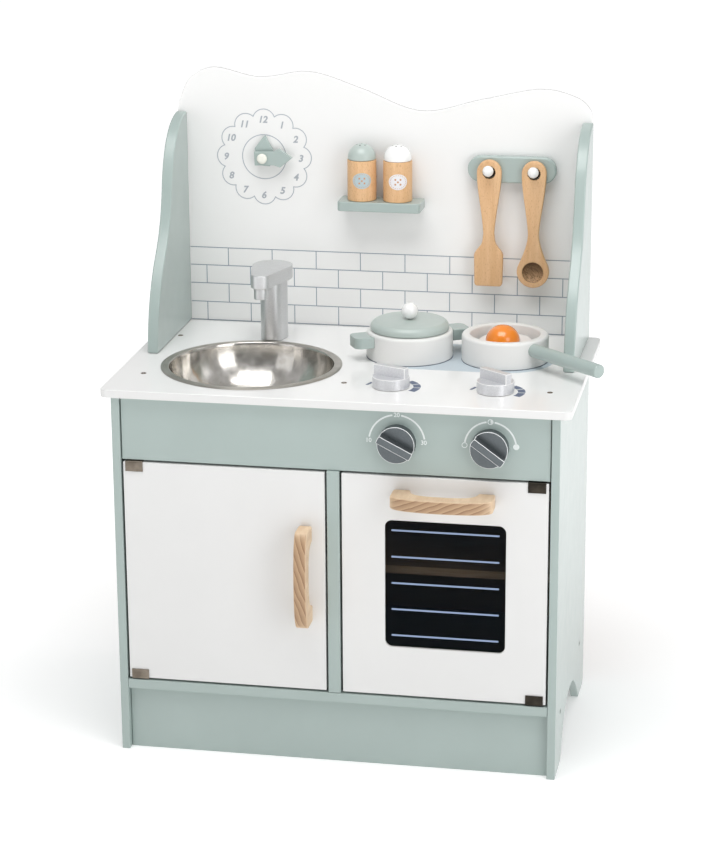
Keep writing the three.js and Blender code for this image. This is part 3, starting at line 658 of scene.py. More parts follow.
def side_panel_outline():
    """Depth and height of a side panel, with the arch between its feet."""
    low, high = node_box("side_panel_left")
    front, back, top = low.y, high.y, high.z
    heel, rise = 12, 56
    arch = [(front + 56, 0)]
    arch += bezier(arch[-1], (front + 76, 18), (front + 84, rise), (front + 140, rise))
    arch.append((front + 155, rise))
    arch += bezier(arch[-1], (front + 200, rise), (front + 232, 24), (front + 256, 0))
    return [(front, 0), *arch, *arc(back - heel, heel, heel, -90, 0, 8), (back, top), (front, top)]


def add_cabinet():
    for side in SIDES:
        board(f"side_panel_{side}", side_panel_outline(), "YZ", SAGE, 1.0)

    low, high = node_box("bottom_panel")
    thickness, batten_width = 12, 20
    board_low = high.z - thickness
    kick_back = node_box("kick_board")[1].y

    def draw_bottom(bm):
        block(bm, (low.x, low.y, board_low), high)
        for x in (low.x, high.x - batten_width):
            block(bm, (x, kick_back + 2, low.z), (x + batten_width, high.y - 20, board_low - 0.05))

    stand_for("bottom_panel", draw_bottom, SAGE, 0.8)
    plain_board("kick_board", SAGE, 0.8)

    panel_low, panel_high = node_box("control_panel")
    slit = Vector((0.8, 0, 0))          # a dark line of shade at each end of the panel
    stand_for("control_panel", lambda bm: block(bm, panel_low + slit, panel_high - slit), SAGE, 0.8)

    low, high = node_box("centre_divider")
    notch_y, notch_z = panel_high.y + CLEARANCE, panel_low.z - CLEARANCE
    divider = [(low.y, low.z), (high.y, low.z), (high.y, high.z), (notch_y, high.z), (notch_y, notch_z),
               (low.y, notch_z)]
    board("centre_divider", divider, "YZ", SAGE, 1.0)

    plain_board("cabinet_back", HARDBOARD, 0.4)
    for node in ("rear_rail", "oven_shelf"):
        plain_board(node, SHELF_WOOD, 0.8)
    for side in SIDES:
        plain_board(f"top_batten_{side}", BATTEN_WOOD, 0.8)
    for door in ("cupboard", "oven"):
        plain_board(f"{door}_catch", BRONZE, 0.6)


def draw_screw(bm):
    """A countersunk head, standing on its own XY plane."""
    radius, sunk, edge, proud = 3.5, 0.6, 0.05, 0.35
    profile = [(0, -sunk), (radius, -sunk), (radius, edge), (2.9, proud), (0, proud)]
    lathe(bm, fillet(profile, 0.15), 32)


def draw_cross(bm):
    """The cross recess of a screw head."""
    long, short = 2.0, 0.45
    corner = [(long, -short), (long, short), (short, short)]
    quarter_turns = [(1, 0), (0, 1), (-1, 0), (0, -1)]
    outline = [(x * c - y * d, x * d + y * c) for c, d in quarter_turns for x, y in corner]
    plate(bm, outline, -0.4, 1)


def add_screws():
    half = centre_of("worktop").x + 243.8
    front_row, rear_row = SIDE_FRONT + 71.2, SIDE_FRONT + 247
    front, rear = [(x, front_row) for x in (-half, 0.2, half)], [(x, rear_row) for x in (-half, half)]
    screws = [(f"worktop_screw_{i}", turned_to((x, y, TOP), turn=17 * i))
              for i, (x, y) in enumerate(front + rear)]
    for side, facing in (("left", -1), ("right", 1)):
        for i, (depth, height) in enumerate([(48.8, 67.5), (254.4, 74)]):
            place = Matrix.Translation((facing * SIDE_OUTER, SIDE_FRONT + depth, height))
            turned = place @ spin(90 * facing, "Y") @ Matrix.Rotation(0.5 * i + 0.3, 4, "Z")
            screws.append((f"side_screw_{side}_{i}", turned))
    for name, place in screws:
        look = SIDE_SCREW if name.startswith("side") else SCREW
        make(name, "cabinet", draw_screw, look, place=place, cuts=[draw_cross], slot="dark_metal")


# ---------- worktop, sink and faucet ----------


def add_worktop():
    low, high = node_box("worktop")
    sink, hole_r, corner_r = centre_of("sink_bowl"), 103, 9
    outline = rounded_rect(low.x, low.y, high.x, high.y, corner_r)

    def sink_hole(bm):
        plate(bm, circle(sink.x, sink.y, hole_r, 96), low.z - 1, high.z + 1)

    # the worktop's edges take the dimmer white lacquer: painted shade that keeps them darker than its top
    def on_edge(spot, normal):
        return abs(normal.z) < 0.5

    board("worktop", outline, "XY", [WORKTOP_WHITE, WHITE], 1.1, cuts=[sink_hole], tints=[(1, on_edge)])


def add_sink():
    low, high = node_box("sink_bowl")
    centre = (low + high) / 2
    rim = (high.x - low.x) / 2
    lip, base, sheet = 101.2, 46, 1.2
    depth, rise = TOP - low.z, high.z - TOP

    def bowl(wall, drop):
        """From the edge of the flat base up to the wall's top."""
        return arc(base, 0, wall - base, 90, 0, 28, -drop)

    inner = bowl(lip - sheet - 0.8, depth - sheet)
    rim_corners = [(lip - sheet, rise - 0.15), (rim - 3, rise), (rim, 0.35), (lip + 0.4, 0.35)]
    rolled = fillet([inner[-1], *rim_corners], 1.2)
    profile = [(0, sheet - depth), *inner, *rolled[1:], *bowl(lip, depth)[::-1], (0, -depth)]

    def on_rim(spot, normal):
        return math.dist(spot.xy, centre.xy) > lip - 1.2 and spot.z > TOP

    place = Matrix.Translation((centre.x, centre.y, TOP))
    turned_piece("sink_bowl", profile, [STEEL, RIM_STEEL], 128, place, tints=[(1, on_rim)])


def add_faucet():
    low, high = node_box("faucet_column")
    spout_z = node_box("faucet_spout")[0].z
    sink_low, sink_high = node_box("sink_bowl")
    front_y, front_r, rear_y, rear_r, pivot_back = -6.5, 14.3, 6, 17, 23
    column_x, pivot_y = (low.x + high.x) / 2, high.y - pivot_back
    place = Matrix.Translation((column_x, pivot_y, 0))

    def relief(bm):
        """Room in the column's foot for the edge of the sink's rim."""
        x, y = (sink_low.x + sink_high.x) / 2 - column_x, (sink_low.y + sink_high.y) / 2 - pivot_y
        rim_r = (sink_high.x - sink_low.x) / 2 + CLEARANCE
        plate(bm, circle(x, y, rim_r, 96), TOP - 1, sink_high.z + CLEARANCE)

    def draw_column(bm):
        plate(bm, tear(front_y, front_r, rear_y, rear_r), low.z, spout_z - CLEARANCE)

    stand_for("faucet_column", draw_column, SILVER, 0.5, place=place, cuts=[relief])

    reach, tip_r, root_r = 52.5, 12.3, 25
    turned = place @ spin(SPOUT_TURN)
    board("faucet_spout", tear(-reach, tip_r, 0, root_r), "XY", SILVER, 1.1, place=turned, segments=4)
    mouth, bore_depth = node_box("faucet_nozzle")[0].z - spout_z, 5
    profile = fillet([(0, mouth + bore_depth), (6.6, mouth + bore_depth), (6.8, mouth), (8.7, mouth + 0.2),
                      (8.7, -CLEARANCE), (0, -CLEARANCE)], 0.5)
    turned_piece("faucet_nozzle", profile, SILVER, 48, turned @ Matrix.Translation((0, -reach, spout_z)))


# ---------- knobs ----------


def draw_knob(bm):
    """A disc with a bar grip across it, standing on its own XY plane."""
    radius, disc, bar, half_width, gap = 22, 13.5, 12, 4.6, 0.5
    cylinder(bm, radius, gap, disc)
    limit = math.degrees(math.asin(half_width / radius))
    grip = arc(0, 0, radius, -limit, limit, 6) + arc(0, 0, radius, 180 - limit, 180 + limit, 6)
    plate(bm, grip, disc - 0.9, disc + bar)


def draw_bolt(bm):
    """The nut, its washer and the bolt's tip behind a board."""
    under, washer_r, nut_r, bolt_r = -10.3, 8, 6, 2.9
    washer, tip, root = under - 1, under - 7, under - 3.8
    lathe(bm, rod(washer_r, washer, under, 0.3), 32)
    plate(bm, circle(0, 0, nut_r, 6), under - 4, washer - 0.02)
    lathe(bm, rod(bolt_r, tip, root, 0.5), 24)


def add_knobs():
    for node, turn in KNOB_TURNS.items():
        middle = centre_of(node)
        if node.startswith("oven"):
            foot, tilt, looks = (middle.x, PANEL_FRONT, middle.z), 90, [GRAPHITE, GRAPHITE_EDGE_PAINTED_HIGHLIGHT]
        else:
            foot, tilt, looks = (middle.x, middle.y, TOP), 0, [KNOB_SILVER, SILVER_EDGE_PAINTED_HIGHLIGHT]
        # the knobs' rounded edges take the near-white paint, a painted highlight
        stand_for(node, draw_knob, looks, 0.6, place=turned_to(foot, tilt, turn), segments=2, look=1)
        stand_for(f"{node}_bolt", draw_bolt, BOLT_STEEL, place=turned_to(foot, tilt))


def add_dials():
    """White dial prints round the two oven knobs."""
    stroke, thin_stroke, ring_r, half_r, dot_r = 2.0, 0.8, 3.0, 2.7, 3.6
    near, far = printed_on(PANEL_FRONT)
    for side, radius, shift in (("left", 32.7, -0.75), ("right", 29.9, 0.1)):
        middle = centre_of(f"oven_knob_{side}")
        x0 = middle.x + shift

        def spot(angle, reach=radius):
            return polar(x0, middle.z, reach, angle)

        def draw(bm):
            for start, end in ((171, 99), (81, 9)):
                ribbon(bm, arc(x0, middle.z, radius, start, end, 24), stroke, near, far, "XZ")
            if side == "right":
                for angle in (178.5, 90):
                    ribbon(bm, circle(*spot(angle), ring_r, 32), thin_stroke, near, far, "XZ", closed=True)
                plate(bm, arc(*spot(90), half_r, -90, 90, 16), near, far, "XZ")
                plate(bm, circle(*spot(3), dot_r, 32), near, far, "XZ")

        add_print(f"dial_print_{side}", draw, DIAL_INK)
        if side == "left":
            numbers = [(text, *spot(angle, reach)) for text, angle, reach in
                       (("10", 178.5, radius + 0.4), ("20", 90, radius), ("30", 1.5, radius - 1.1))]
            write_numbers("dial_numbers", numbers, 5.2, PANEL_FRONT, DIAL_INK, lean=0.0, bold=0.16)


def write_numbers(name, numbers, height, face, look, lean, bold):
    """Printed numbers, each (text, x, z), on a plane that faces the front; bold widens the strokes."""
    size_of_height = 1.38               # the font's size for digits of height one
    bm = bmesh.new()
    for text, x, z in numbers:
        curve = set_all(bpy.data.curves.new("number", "FONT"), body=text, size=height * size_of_height,
                        align_x="CENTER", align_y="CENTER", shear=lean, offset=bold, extrude=INK / 2,
                        resolution_u=4)
        digits = add_object("number", curve)
        mesh = result_of(digits)
        mesh.transform(turned_to((x, face - INK / 2, z), tilt=90))
        bm.from_mesh(mesh)
        bpy.data.objects.remove(digits)
        bpy.data.curves.remove(curve)
        bpy.data.meshes.remove(mesh)
    bmesh.ops.remove_doubles(bm, verts=bm.verts, dist=0.001)
    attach(to_object(name, bm, [look]), "cabinet")


def add_hob_print():
    """The pale plate behind the knobs, a dark ring round each pan's base that is painted contact shadow, and
    the marks beside the knobs.
    """
    near, far = TOP - SUNK, TOP + INK
    pot, pan = centre_of("pot"), centre_of("pan")
    plate_r, ring_r, left_end = 60, 52.2, pot.x + 16
    outline = arc(pan.x, pot.y, plate_r, -90, 90, 40) + arc(left_end, pot.y, plate_r, 90, 270, 40)
    add_print("hob_plate_print", lambda bm: plate(bm, outline, near, far), HOB_INK)

    # painted contact shadow: a dark ring round the edge of each pan's base
    def draw_rings(bm):
        for middle in (pot, pan):
            ribbon(bm, circle(middle.x, middle.y, ring_r, 96), 1.6, near, far + 0.06, "XY", closed=True)

    add_print("hob_ring_painted_shadow", draw_rings, HOB_DARK_INK_AND_PAINTED_SHADOW)

    def draw_marks(bm):
        outer, inner = 35, 26.3
        for side in SIDES:
            x, y = centre_of(f"hob_knob_{side}").xy
            ribbon(bm, [(x - 29.5, y + 3), (x - 25, y + 14.7)], 3.4, near, far, "XY")
            for start, end in ((30, 54), (2, 26), (-30, -2)):
                plate(bm, arc(x, y, outer, start, end, 10) + arc(x, y, inner, end, start, 10), near, far)

    add_print("hob_mark_print", draw_marks, HOB_DARK_INK_AND_PAINTED_SHADOW)


# ---------- doors ----------


def handle_outline():
    """Length and reach of a bow handle: two feet on the door and an arched bridge."""
    half, reach, foot, bridge = 60, 39, 20, 19
    shoulder, hollow = reach - 15, reach - bridge
    inner = half - foot
    inside = bezier((-inner, 0), (2 - inner, hollow * 0.8), (10 - inner, hollow), (0, hollow))
    inside += bezier((0, hollow), (inner - 10, hollow), (inner - 2, hollow * 0.8), (inner, 0))
    outside = [(half - 2, 0), (half - 0.6, 1.4), (half, 6), (half, shoulder)]
    outside += bezier((half, shoulder), (half - 2, reach - 4), (half - 26, reach), (0, reach), steps=20)
    outside += bezier((0, reach), (26 - half, reach), (2 - half, reach - 4), (-half, shoulder), steps=20)
    outside += [(-half, 6), (0.6 - half, 1.4), (2 - half, 0)]
    return [(-inner, 0), *inside, *outside]


def add_handles():
    for node, plane, look in (("cupboard_handle", "YZ", ASH_UPRIGHT), ("oven_handle", "XY", ASH_LEVEL)):
        middle, back = centre_of(node), node_box(node)[1].y
        if plane == "YZ":
            outline = [(back - reach, middle.z + along) for along, reach in handle_outline()]
        else:
            outline = [(middle.x + along, back - reach) for along, reach in handle_outline()]
        board(node, outline, plane, look, 1.6, segments=4)


def hinge_clip_outline(low, high, upper):
    """Depth and height of a folded sheet that grips a door's edge."""
    sheet = 1.0
    edge, mouth = (high.z, low.z) if upper else (low.z, high.z)
    inward = -sheet if upper else sheet
    outside = fillet([(low.y, mouth), (low.y, edge), (high.y, edge), (high.y, mouth)], 1.6, 4)
    inside = fillet([(high.y - sheet, mouth), (high.y - sheet, edge + inward), (low.y + sheet, edge + inward),
                     (low.y + sheet, mouth)], 0.7, 3)
    return outside + inside


def add_doors():
    plain_board("cupboard_door", WHITE, 0.7)

    low, high = node_box("oven_window")
    door_low, door_high = node_box("oven_door")
    lap, corner = 7.7, 8.5
    opening = rounded_rect(low.x + lap, low.z + lap, high.x - lap, high.z - lap, corner)
    pocket_low = (low.x - CLEARANCE, low.y - CLEARANCE, low.z - CLEARANCE)
    pocket_high = (high.x + CLEARANCE, door_high.y + 1, high.z + CLEARANCE)
    cuts = [
        lambda bm: plate(bm, opening, door_low.y - 1, low.y + 1, "XZ"),
        lambda bm: block(bm, pocket_low, pocket_high),
    ]
    stand_for("oven_door", lambda bm: block(bm, door_low, door_high), WHITE, 0.7, cuts=cuts)
    plain_board("oven_window", PANE, 0.3)

    def draw_lines(bm):
        left, right = low.x + lap + 7.2, high.x - lap - 8.2
        bottom, top, stroke = 169.2, 300.2, 2.2
        for z in linear_steps(bottom, top, 4):
            ribbon(bm, [(left, z), (right, z)], stroke, low.y - INK, low.y + 0.02, "XZ")

    add_print("oven_window_print", draw_lines, PANE_INK, body="oven_door")
    add_handles()

    for door in ("cupboard", "oven"):
        for corner_name in ("top", "bottom"):
            add_hinge(f"{door}_hinge_{corner_name}", corner_name == "top")


def add_hinge(node, upper):
    low, high = node_box(node)
    stand_out, pin_r = 5.0, 1.55        # how far the pin stands out of the clip, and its radius
    clip_low, clip_high = low.copy(), high.copy()
    if upper:
        clip_high.z -= stand_out
    else:
        clip_low.z += stand_out
    outline = hinge_clip_outline(clip_low, clip_high, upper)
    # the cupboard door's clips take the lighter copy of the bronzed steel
    door, look = ("cupboard", LIGHT_BRONZED_STEEL) if node.startswith("cupboard") else ("oven", BRONZE)
    joint = next(j for j in frame["joints"] if j["name"] == f"{door}_door_hinge")
    pin_x, pin_y = joint["pos_m"][0] / MM, joint["pos_m"][1] / MM

    def draw(bm):
        shifted = [(y - pin_y, z) for y, z in outline]
        plate(bm, shifted, low.x - pin_x, high.x - pin_x, "YZ")
        foot, tip = (clip_high.z - 0.4, high.z) if upper else (low.z, clip_low.z + 0.4)
        lathe(bm, rod(pin_r, foot, tip, 0.4), 24)

    stand_for(node, draw, look, 0.25, place=Matrix.Translation((pin_x, pin_y, 0)), segments=2)


# ---------- backboard and wings ----------


def add_backboard():
    low, high = node_box("backboard")
    half = high.x
    crest = [(half, SHOULDER), (258, 742), (240, 757), (196, 765.6), (123, 751), (48, 735), (-27, 761),
             (-92, 780), (-156, 772), (-213, 782.8), (-244, 770), (-257, 746), (-half, SHOULDER)]
    outline = [(-half, low.z), (half, low.z), *through(crest)]
    board("backboard", outline, "XZ", BOARD_WHITE, 1.3)

    for side in SIDES:
        node = f"wing_{side}"
        wing_low, wing_high = node_box(node)
        back, foot, front = wing_high.y, wing_low.z, SIDE_FRONT
        wing = [(back, foot), (back, SHOULDER)]
        wing += bezier(wing[-1], (front + 268, 724), (front + 248, 672), (front + 243, 645), steps=20)
        wing += bezier(wing[-1], (front + 237, 615), (front + 225, 591), (front + 205, 570), steps=16)
        wing += bezier(wing[-1], (front + 172, 535), (front + 160, 495), (front + 157, foot), steps=20)
        board(node, wing, "YZ", SAGE, 2.0, segments=4)


def add_tile_print():
    """Four courses of tiles in half bond across the backboard, between the wings."""
    courses = [TOP + 0.6, 481.5, 505.9, 529.6, 552.7]
    pitch, stroke = 57, 1.05
    near, far = printed_on(BOARD_FRONT)

    def draw(bm):
        for z in courses:
            ribbon(bm, [(-WING_INNER, z), (WING_INNER, z)], stroke, near, far, "XZ")
        for course, (z0, z1) in enumerate(zip(courses, courses[1:])):
            shift = 0 if course % 2 == 0 else pitch / 2
            reach = int(WING_INNER // pitch) + 1
            for i in range(-reach, reach + 1):
                x = shift + i * pitch
                if abs(x) < WING_INNER - 3:
                    ribbon(bm, [(x, z0 + stroke / 2), (x, z1 - stroke / 2)], stroke, near, far, "XZ")

    add_print("tile_print", draw, TILE_INK)


def add_clock():
    pin = centre_of("clock_pin")
    near, far = printed_on(BOARD_FRONT)
    petals, outer, cusp, inner, stroke = 12, 60.4, 52.5, 28, 1.1
    half_step = math.pi / petals
    cusp_across, cusp_along = cusp * math.sin(half_step), cusp * math.cos(half_step)
    petal_middle = (outer ** 2 - cusp ** 2) / (2 * (outer - cusp_along))
    petal_r = outer - petal_middle
    spread = math.degrees(math.atan2(cusp_across, cusp_along - petal_middle))

    def draw_outline(bm):
        edge = []
        for i in range(petals):
            way = 360 / petals * i
            x, z = polar(pin.x, pin.z, petal_middle, way)
            edge += arc(x, z, petal_r, way - spread, way + spread, 14)[:-1]
        for line in (edge, circle(pin.x, pin.z, inner, 72)):
            ribbon(bm, line, stroke, near, far, "XZ", closed=True)

    add_print("clock_print", draw_outline, CLOCK_INK)
    numbers_x, numbers_z, numbers_r = pin.x - 1.5, pin.z - 1.2, 48
    hours = [(str(hour), *polar(numbers_x, numbers_z, numbers_r, 90 - 30 * hour)) for hour in range(1, 13)]
    write_numbers("clock_numbers", hours, 8.6, BOARD_FRONT, NUMBER_INK, lean=0.22, bold=0.38)

    hands = (("clock_hour_hand", 28.5, 18.3, 86), ("clock_minute_hand", 38.2, 16.2, 2.5))
    for node, length, point, angle in hands:
        low, high = node_box(node)
        widest, tail, stem, barb = length - point, 10.3, 8.8, 11.9
        outline = [(-tail, -stem), (widest - 8, -stem), (widest, -barb), (length, 0), (widest, barb),
                   (widest - 8, stem), (-tail, stem)]
        place = Matrix.Translation((pin.x, 0, pin.z)) @ spin(-angle, "Y")

        def bore(bm):
            plate(bm, circle(0, 0, 3.3, 32), low.y - 1, high.y + 1, "XZ")

        board(node, outline, "XZ", SAGE, 0.6, place=place, cuts=[bore])

    tip, shank_r, head_r = BOARD_FRONT - node_box("clock_pin")[0].y, 3, 6.5
    under_head = tip - 5.2
    profile = fillet([(0, CLEARANCE), (shank_r, CLEARANCE), (shank_r, under_head), (head_r, under_head),
                      (head_r, tip - 2.7), (5.2, tip - 1), (2.6, tip - 0.2), (0, tip)], 0.9, 4)
    turned_piece("clock_pin", profile, CREAM, 48, turned_to((pin.x, BOARD_FRONT, pin.z), 90))


# ---------- shakers ----------


def wrapped(axis, radius, facing):
    """Maps (across, up) in millimetres onto an upright cylinder, with its middle facing that way."""
    def place(u, v, t):
        angle = u / radius + math.radians(facing)
        return (axis.x + (radius + t) * math.sin(angle), axis.y - (radius + t) * math.cos(angle), v)
    return place


def add_label(name, body, axis, middle_z, colour):
    """An oval label with a stitched border and a motif of five dots."""
    half_width, half_height, radius, facing = 12.0, 9.85, 18, 10.5
    place = wrapped(axis, radius, facing)

    def sheet(bm, outline, near, far, rings=5):
        """A thin patch drawn as rings round its middle, so that it bends with the cylinder."""
        count = len(outline)
        middle = (sum(p[0] for p in outline) / count, sum(p[1] for p in outline) / count)
        layers = []
        for t in (near, far):
            layer = [[bm.verts.new(place(*middle, t))]]
            for k in range(1, rings + 1):
                share = k / rings
                ring = [[m + (value - m) * share for m, value in zip(middle, spot)] for spot in outline]
                layer.append([bm.verts.new(place(u, v, t)) for u, v in ring])
            for first, second in zip(layer, layer[1:]):
                wall(bm, first, second)
            layers.append(layer[-1])
        wall(bm, *layers)

    def oval(scale, start=0, end=360, steps=64):
        return arc(0, middle_z, half_width * scale, start, end, steps, half_height * scale)

    add_print(f"{name}_label", lambda bm: sheet(bm, oval(1)[:-1], -SUNK, INK), colour, body)

    def draw_stitches(bm):
        dashes, dashed, proud = 22, 0.62, INK + 0.08
        for i in range(dashes):
            start = 360 / dashes * i
            end = start + 360 / dashes * dashed
            sheet(bm, oval(0.86, start, end, 4) + oval(0.81, end, start, 4), 0.0, proud, rings=1)
        for u, v in ((0, 0), (3.2, 3), (-3.2, 3), (3.2, -3), (-3.2, -3)):
            sheet(bm, circle(u, middle_z + v, 1.25, 20), 0.0, proud, rings=1)

    add_print(f"{name}_label_print", draw_stitches, LABEL_BROWN, body)


def add_shakers():
    low, high = node_box("shaker_shelf")
    r = 5
    shelf = [(high.x, high.y), (low.x, high.y), *arc(low.x + r, low.y + r, r, 180, 270, 8),
             *arc(high.x - r, low.y + r, r, 270, 360, 8)]
    board("shaker_shelf", shelf, "XY", SAGE, 1.2)

    holes_r, hole_r, label_rise = 6.3, 0.85, 26.3
    for name, cap_look, label in (("pepper", GLOSS_SAGE, LABEL_BLUE), ("salt", GLOSS_WHITE, LABEL_WHITE)):
        low, high = node_box(f"{name}_body")
        axis = (low + high) / 2
        radius = (high.x - low.x) / 2
        turned_piece(f"{name}_body", rod(radius, low.z, high.z, 0.9), BEECH)

        cap_low, cap_high = node_box(f"{name}_cap")
        cap_r, bevel, collar_z = radius - 0.6, 0.8, cap_low.z + 2.2
        dome = [(0, cap_low.z), (cap_r - bevel, cap_low.z), (cap_r, cap_low.z + bevel)]
        dome += arc(0, collar_z, cap_r, 0, 90, 20, cap_high.z - collar_z)

        def holes(bm):
            for x, y in [(0, 0), *arc(0, 0, holes_r, 20, 320, 5)]:
                plate(bm, circle(x, y, hole_r, 16), cap_high.z - 6, cap_high.z + 1)

        # the walls of the holes take painted shade
        def in_hole(spot, normal):
            return normal.z < 0.3 and spot.z > cap_low.z + 10 and math.dist(spot.xy, axis.xy) < holes_r + 1

        turned_piece(f"{name}_cap", dome, [cap_look, HOLE_PAINTED_SHADE], cuts=[holes], tints=[(1, in_hole)])
        add_label(name, f"{name}_shaker", axis, low.z + label_rise, label)


# ---------- utensils ----------


def utensil_outline(eye_z, x, lower_right):
    """A handle that narrows from its eye to its neck; lower_right gives the right half below the neck."""
    handle = 15.2
    right = arc(0, eye_z, handle, 90, 0, 18)
    right += bezier(right[-1], (handle, eye_z - 24), (NECK + 1, NECK_Z + 24), (NECK, NECK_Z), steps=20)
    right += lower_right
    left = [(-u, v) for u, v in right[::-1]]
    loop = right + left
    clean = [p for i, p in enumerate(loop) if math.dist(p, loop[i - 1]) > 0.01]
    return [(x + u, v) for u, v in clean]


def add_rail_and_pegs(eye_z, eye_r):
    low, high = node_box("utensil_rail")
    r = (high.z - low.z) / 2
    middle_z = (high.z + low.z) / 2
    rail = arc(high.x - r, middle_z, r, -90, 90, 28) + arc(low.x + r, middle_z, r, 90, 270, 28)
    peg_xs = [centre_of(f"peg_{side}").x for side in SIDES]
    shade_r, shade_y = eye_r + 0.5, low.y + 0.3

    # a shallow ring cut into the rail round each peg; its floor is painted near black, the shade seen through
    # the utensil's eye
    def rebate(x):
        return lambda bm: plate(bm, circle(x, eye_z, shade_r, 48), low.y - 1, shade_y, "XZ")

    def in_rebate(spot, normal):
        return abs(spot.y - shade_y) < 0.1 and min(abs(spot.x - x) for x in peg_xs) < shade_r

    board("utensil_rail", rail, "XZ", [SAGE, HOLE_PAINTED_SHADE], 2.2, cuts=[rebate(x) for x in peg_xs],
          tints=[(1, in_rebate)], segments=4)

    for side in SIDES:
        node = f"peg_{side}"
        peg_low, peg_high = node_box(node)
        axis = (peg_low + peg_high) / 2
        ball = 6.8
        middle = peg_high.y - peg_low.y - ball
        join = math.degrees(math.acos(SHANK / ball))
        profile = [(0, 0), (SHANK, 0), *arc(0, middle, ball, -join, 90, 22)]
        turned_piece(node, profile, GLOSS_WHITE, 48, turned_to((axis.x, peg_high.y, axis.z), 90))


def add_utensils():
    eye_r = 7.6
    eye_z = centre_of("peg_left").z - (eye_r - SHANK) + CLEARANCE
    add_rail_and_pegs(eye_z, eye_r)

    low, high = node_box("spatula")
    foot = low.z
    blade = [(7.5, 580)] + bezier((7.5, 580), (8.9, 570), (18, 567), (18, 560), steps=12)
    blade.append((17.4, foot + 5))
    blade += bezier(blade[-1], (17.3, foot + 1.5), (16, foot), (13, foot), steps=8)
    bowl = 20
    bowl_z = foot + bowl
    rounded = arc(0, bowl_z, bowl, 25, -90, 30)
    edge_x, edge_z = rounded[0]
    cup = bezier((NECK, NECK_Z), (7.2, 574), (edge_x - 4, edge_z + 9), rounded[0]) + rounded
    spoon_x = centre_of("spoon").x

    def eye(x):
        return lambda bm: plate(bm, circle(x, eye_z, eye_r, 40), low.y - 1, high.y + 1, "XZ")

    cup_r, cup_depth, cup_z = 12.9, 6, bowl_z - 0.7

    def cup_hollow(bm):
        lathe(bm, arc(0, 0, cup_r, -90, 90, 48, cup_depth))
        bmesh.ops.transform(bm, matrix=turned_to((spoon_x, low.y, cup_z), 90), verts=bm.verts)

    # the eye's walls take the near-black beech, painted shade in the hole
    def in_eye(spot, normal):
        return abs(normal.y) < 0.5 and math.hypot(spot.x - x, spot.z - eye_z) < eye_r + 0.4

    # the spoon's hollow takes the beech with painted shade
    def in_cup(spot, normal):
        inside = math.hypot(spot.x - spoon_x, spot.z - cup_z) < cup_r + 0.1
        return inside and low.y + 0.05 < spot.y < high.y - 1

    shapes = {"spatula": (blade, [], []), "spoon": (cup, [cup_hollow], [(2, in_cup)])}
    for node, (lower, hollows, shaded) in shapes.items():
        x = centre_of(node).x
        board(node, utensil_outline(eye_z, x, lower), "XZ", [BEECH, EYE_PAINTED_SHADE_BEECH, CUP_BEECH_PAINTED_SHADE], 1.3,
              cuts=[eye(x), *hollows], tints=[(1, in_eye), *shaded])


# ---------- cookware ----------


def add_vessel(node):
    """The round body of the pot or the pan."""
    base, wall_thickness, floor, height = node_box(node)[0].z, 10.5, 10, 33
    inside = COOKWARE_R - wall_thickness
    corners = [(0, 0), (COOKWARE_R, 0), (COOKWARE_R, height), (inside, height), (inside, floor), (0, floor)]
    profile = [corners[0]]
    for before, corner, after, r in zip(corners, corners[1:], corners[2:], (1.6, 4.2, 2.4, 1.5)):
        profile += fillet([before, corner, after], r, 7)[1:-1]
    profile.append(corners[-1])
    turned_piece(node, [(r, base + z) for r, z in profile], GREY, ROUND)


def vessel_wall(low, high):
    """A cut that keeps a handle out of the body that it is glued to."""
    return lambda bm: cylinder(bm, COOKWARE_R + CLEARANCE, low, high, ROUND)


def add_pot():
    add_vessel("pot")

    low, high = node_box("pot_handle_right")
    half, root, tip, corner = 14.75, 44, 74.2, 8
    tab = [(root, -half), *arc(tip - corner, corner - half, corner, -90, 0, 10),
           *arc(tip - corner, half - corner, corner, 0, 90, 10), (root, half)]
    for side, angle in zip(SIDES, (POT_TURN + 180, POT_TURN)):
        board(f"pot_handle_{side}", tab, "XY", SAGE, 0.8, place=at("pot") @ spin(angle),
              cuts=[vessel_wall(low.z - 1, high.z + 1)])

    base, plug_r, rim_r = node_box("pot_lid")[0].z, 41.4, 48
    rim = base + 4
    corners = [(0, base), (plug_r, base), (plug_r, rim), (rim_r, rim), (rim_r, rim + 6.5), (43.5, rim + 11),
               (30, rim + 12), (0, rim + 12.4)]
    turned_piece("pot_lid", fillet(corners, 2.6, 7), GLOSS_SAGE, ROUND)

    low, high = node_box("lid_knob")
    ball = (high.x - low.x) / 2
    knob = [(0, low.z), (3.3, low.z), *arc(0, high.z - ball, ball, -70, 90, 30)]
    turned_piece("lid_knob", knob, GLOSS_WHITE, 56)


def add_pan():
    add_vessel("pan")

    axis_z = centre_of("pan_handle").z
    radius, root, end = 8.2, 46.7, 169.3

    def draw_handle(bm):
        lathe(bm, rod(radius, root, end, 1.8), 56)
        bmesh.ops.transform(bm, matrix=spin(90, "Y"), verts=bm.verts)

    turned = at("pan") @ Matrix.Translation((0, 0, axis_z)) @ spin(PAN_TURN)
    stand_for("pan_handle", draw_handle, SAGE, place=turned, cuts=[vessel_wall(-12, 12)])

    lobes = []
    for angle in linear_steps(0, 360, 120)[:-1]:
        wave = 1.6 * math.cos(math.radians(5 * angle) + 1)
        lobes.append(polar(0, 0, 36 + wave, angle))
    board("egg_white", lobes, "XY", EGG_WHITE, 2.4, place=at("pan"), segments=5)

    low, high = node_box("egg_yolk")
    radius = (high.x - low.x) / 2
    dome = [(0, low.z), (radius - 0.8, low.z), *arc(0, low.z, radius, 3, 90, 28, high.z - low.z)]
    turned_piece("egg_yolk", dome, YOLK)


# ---------- floor, light and camera ----------


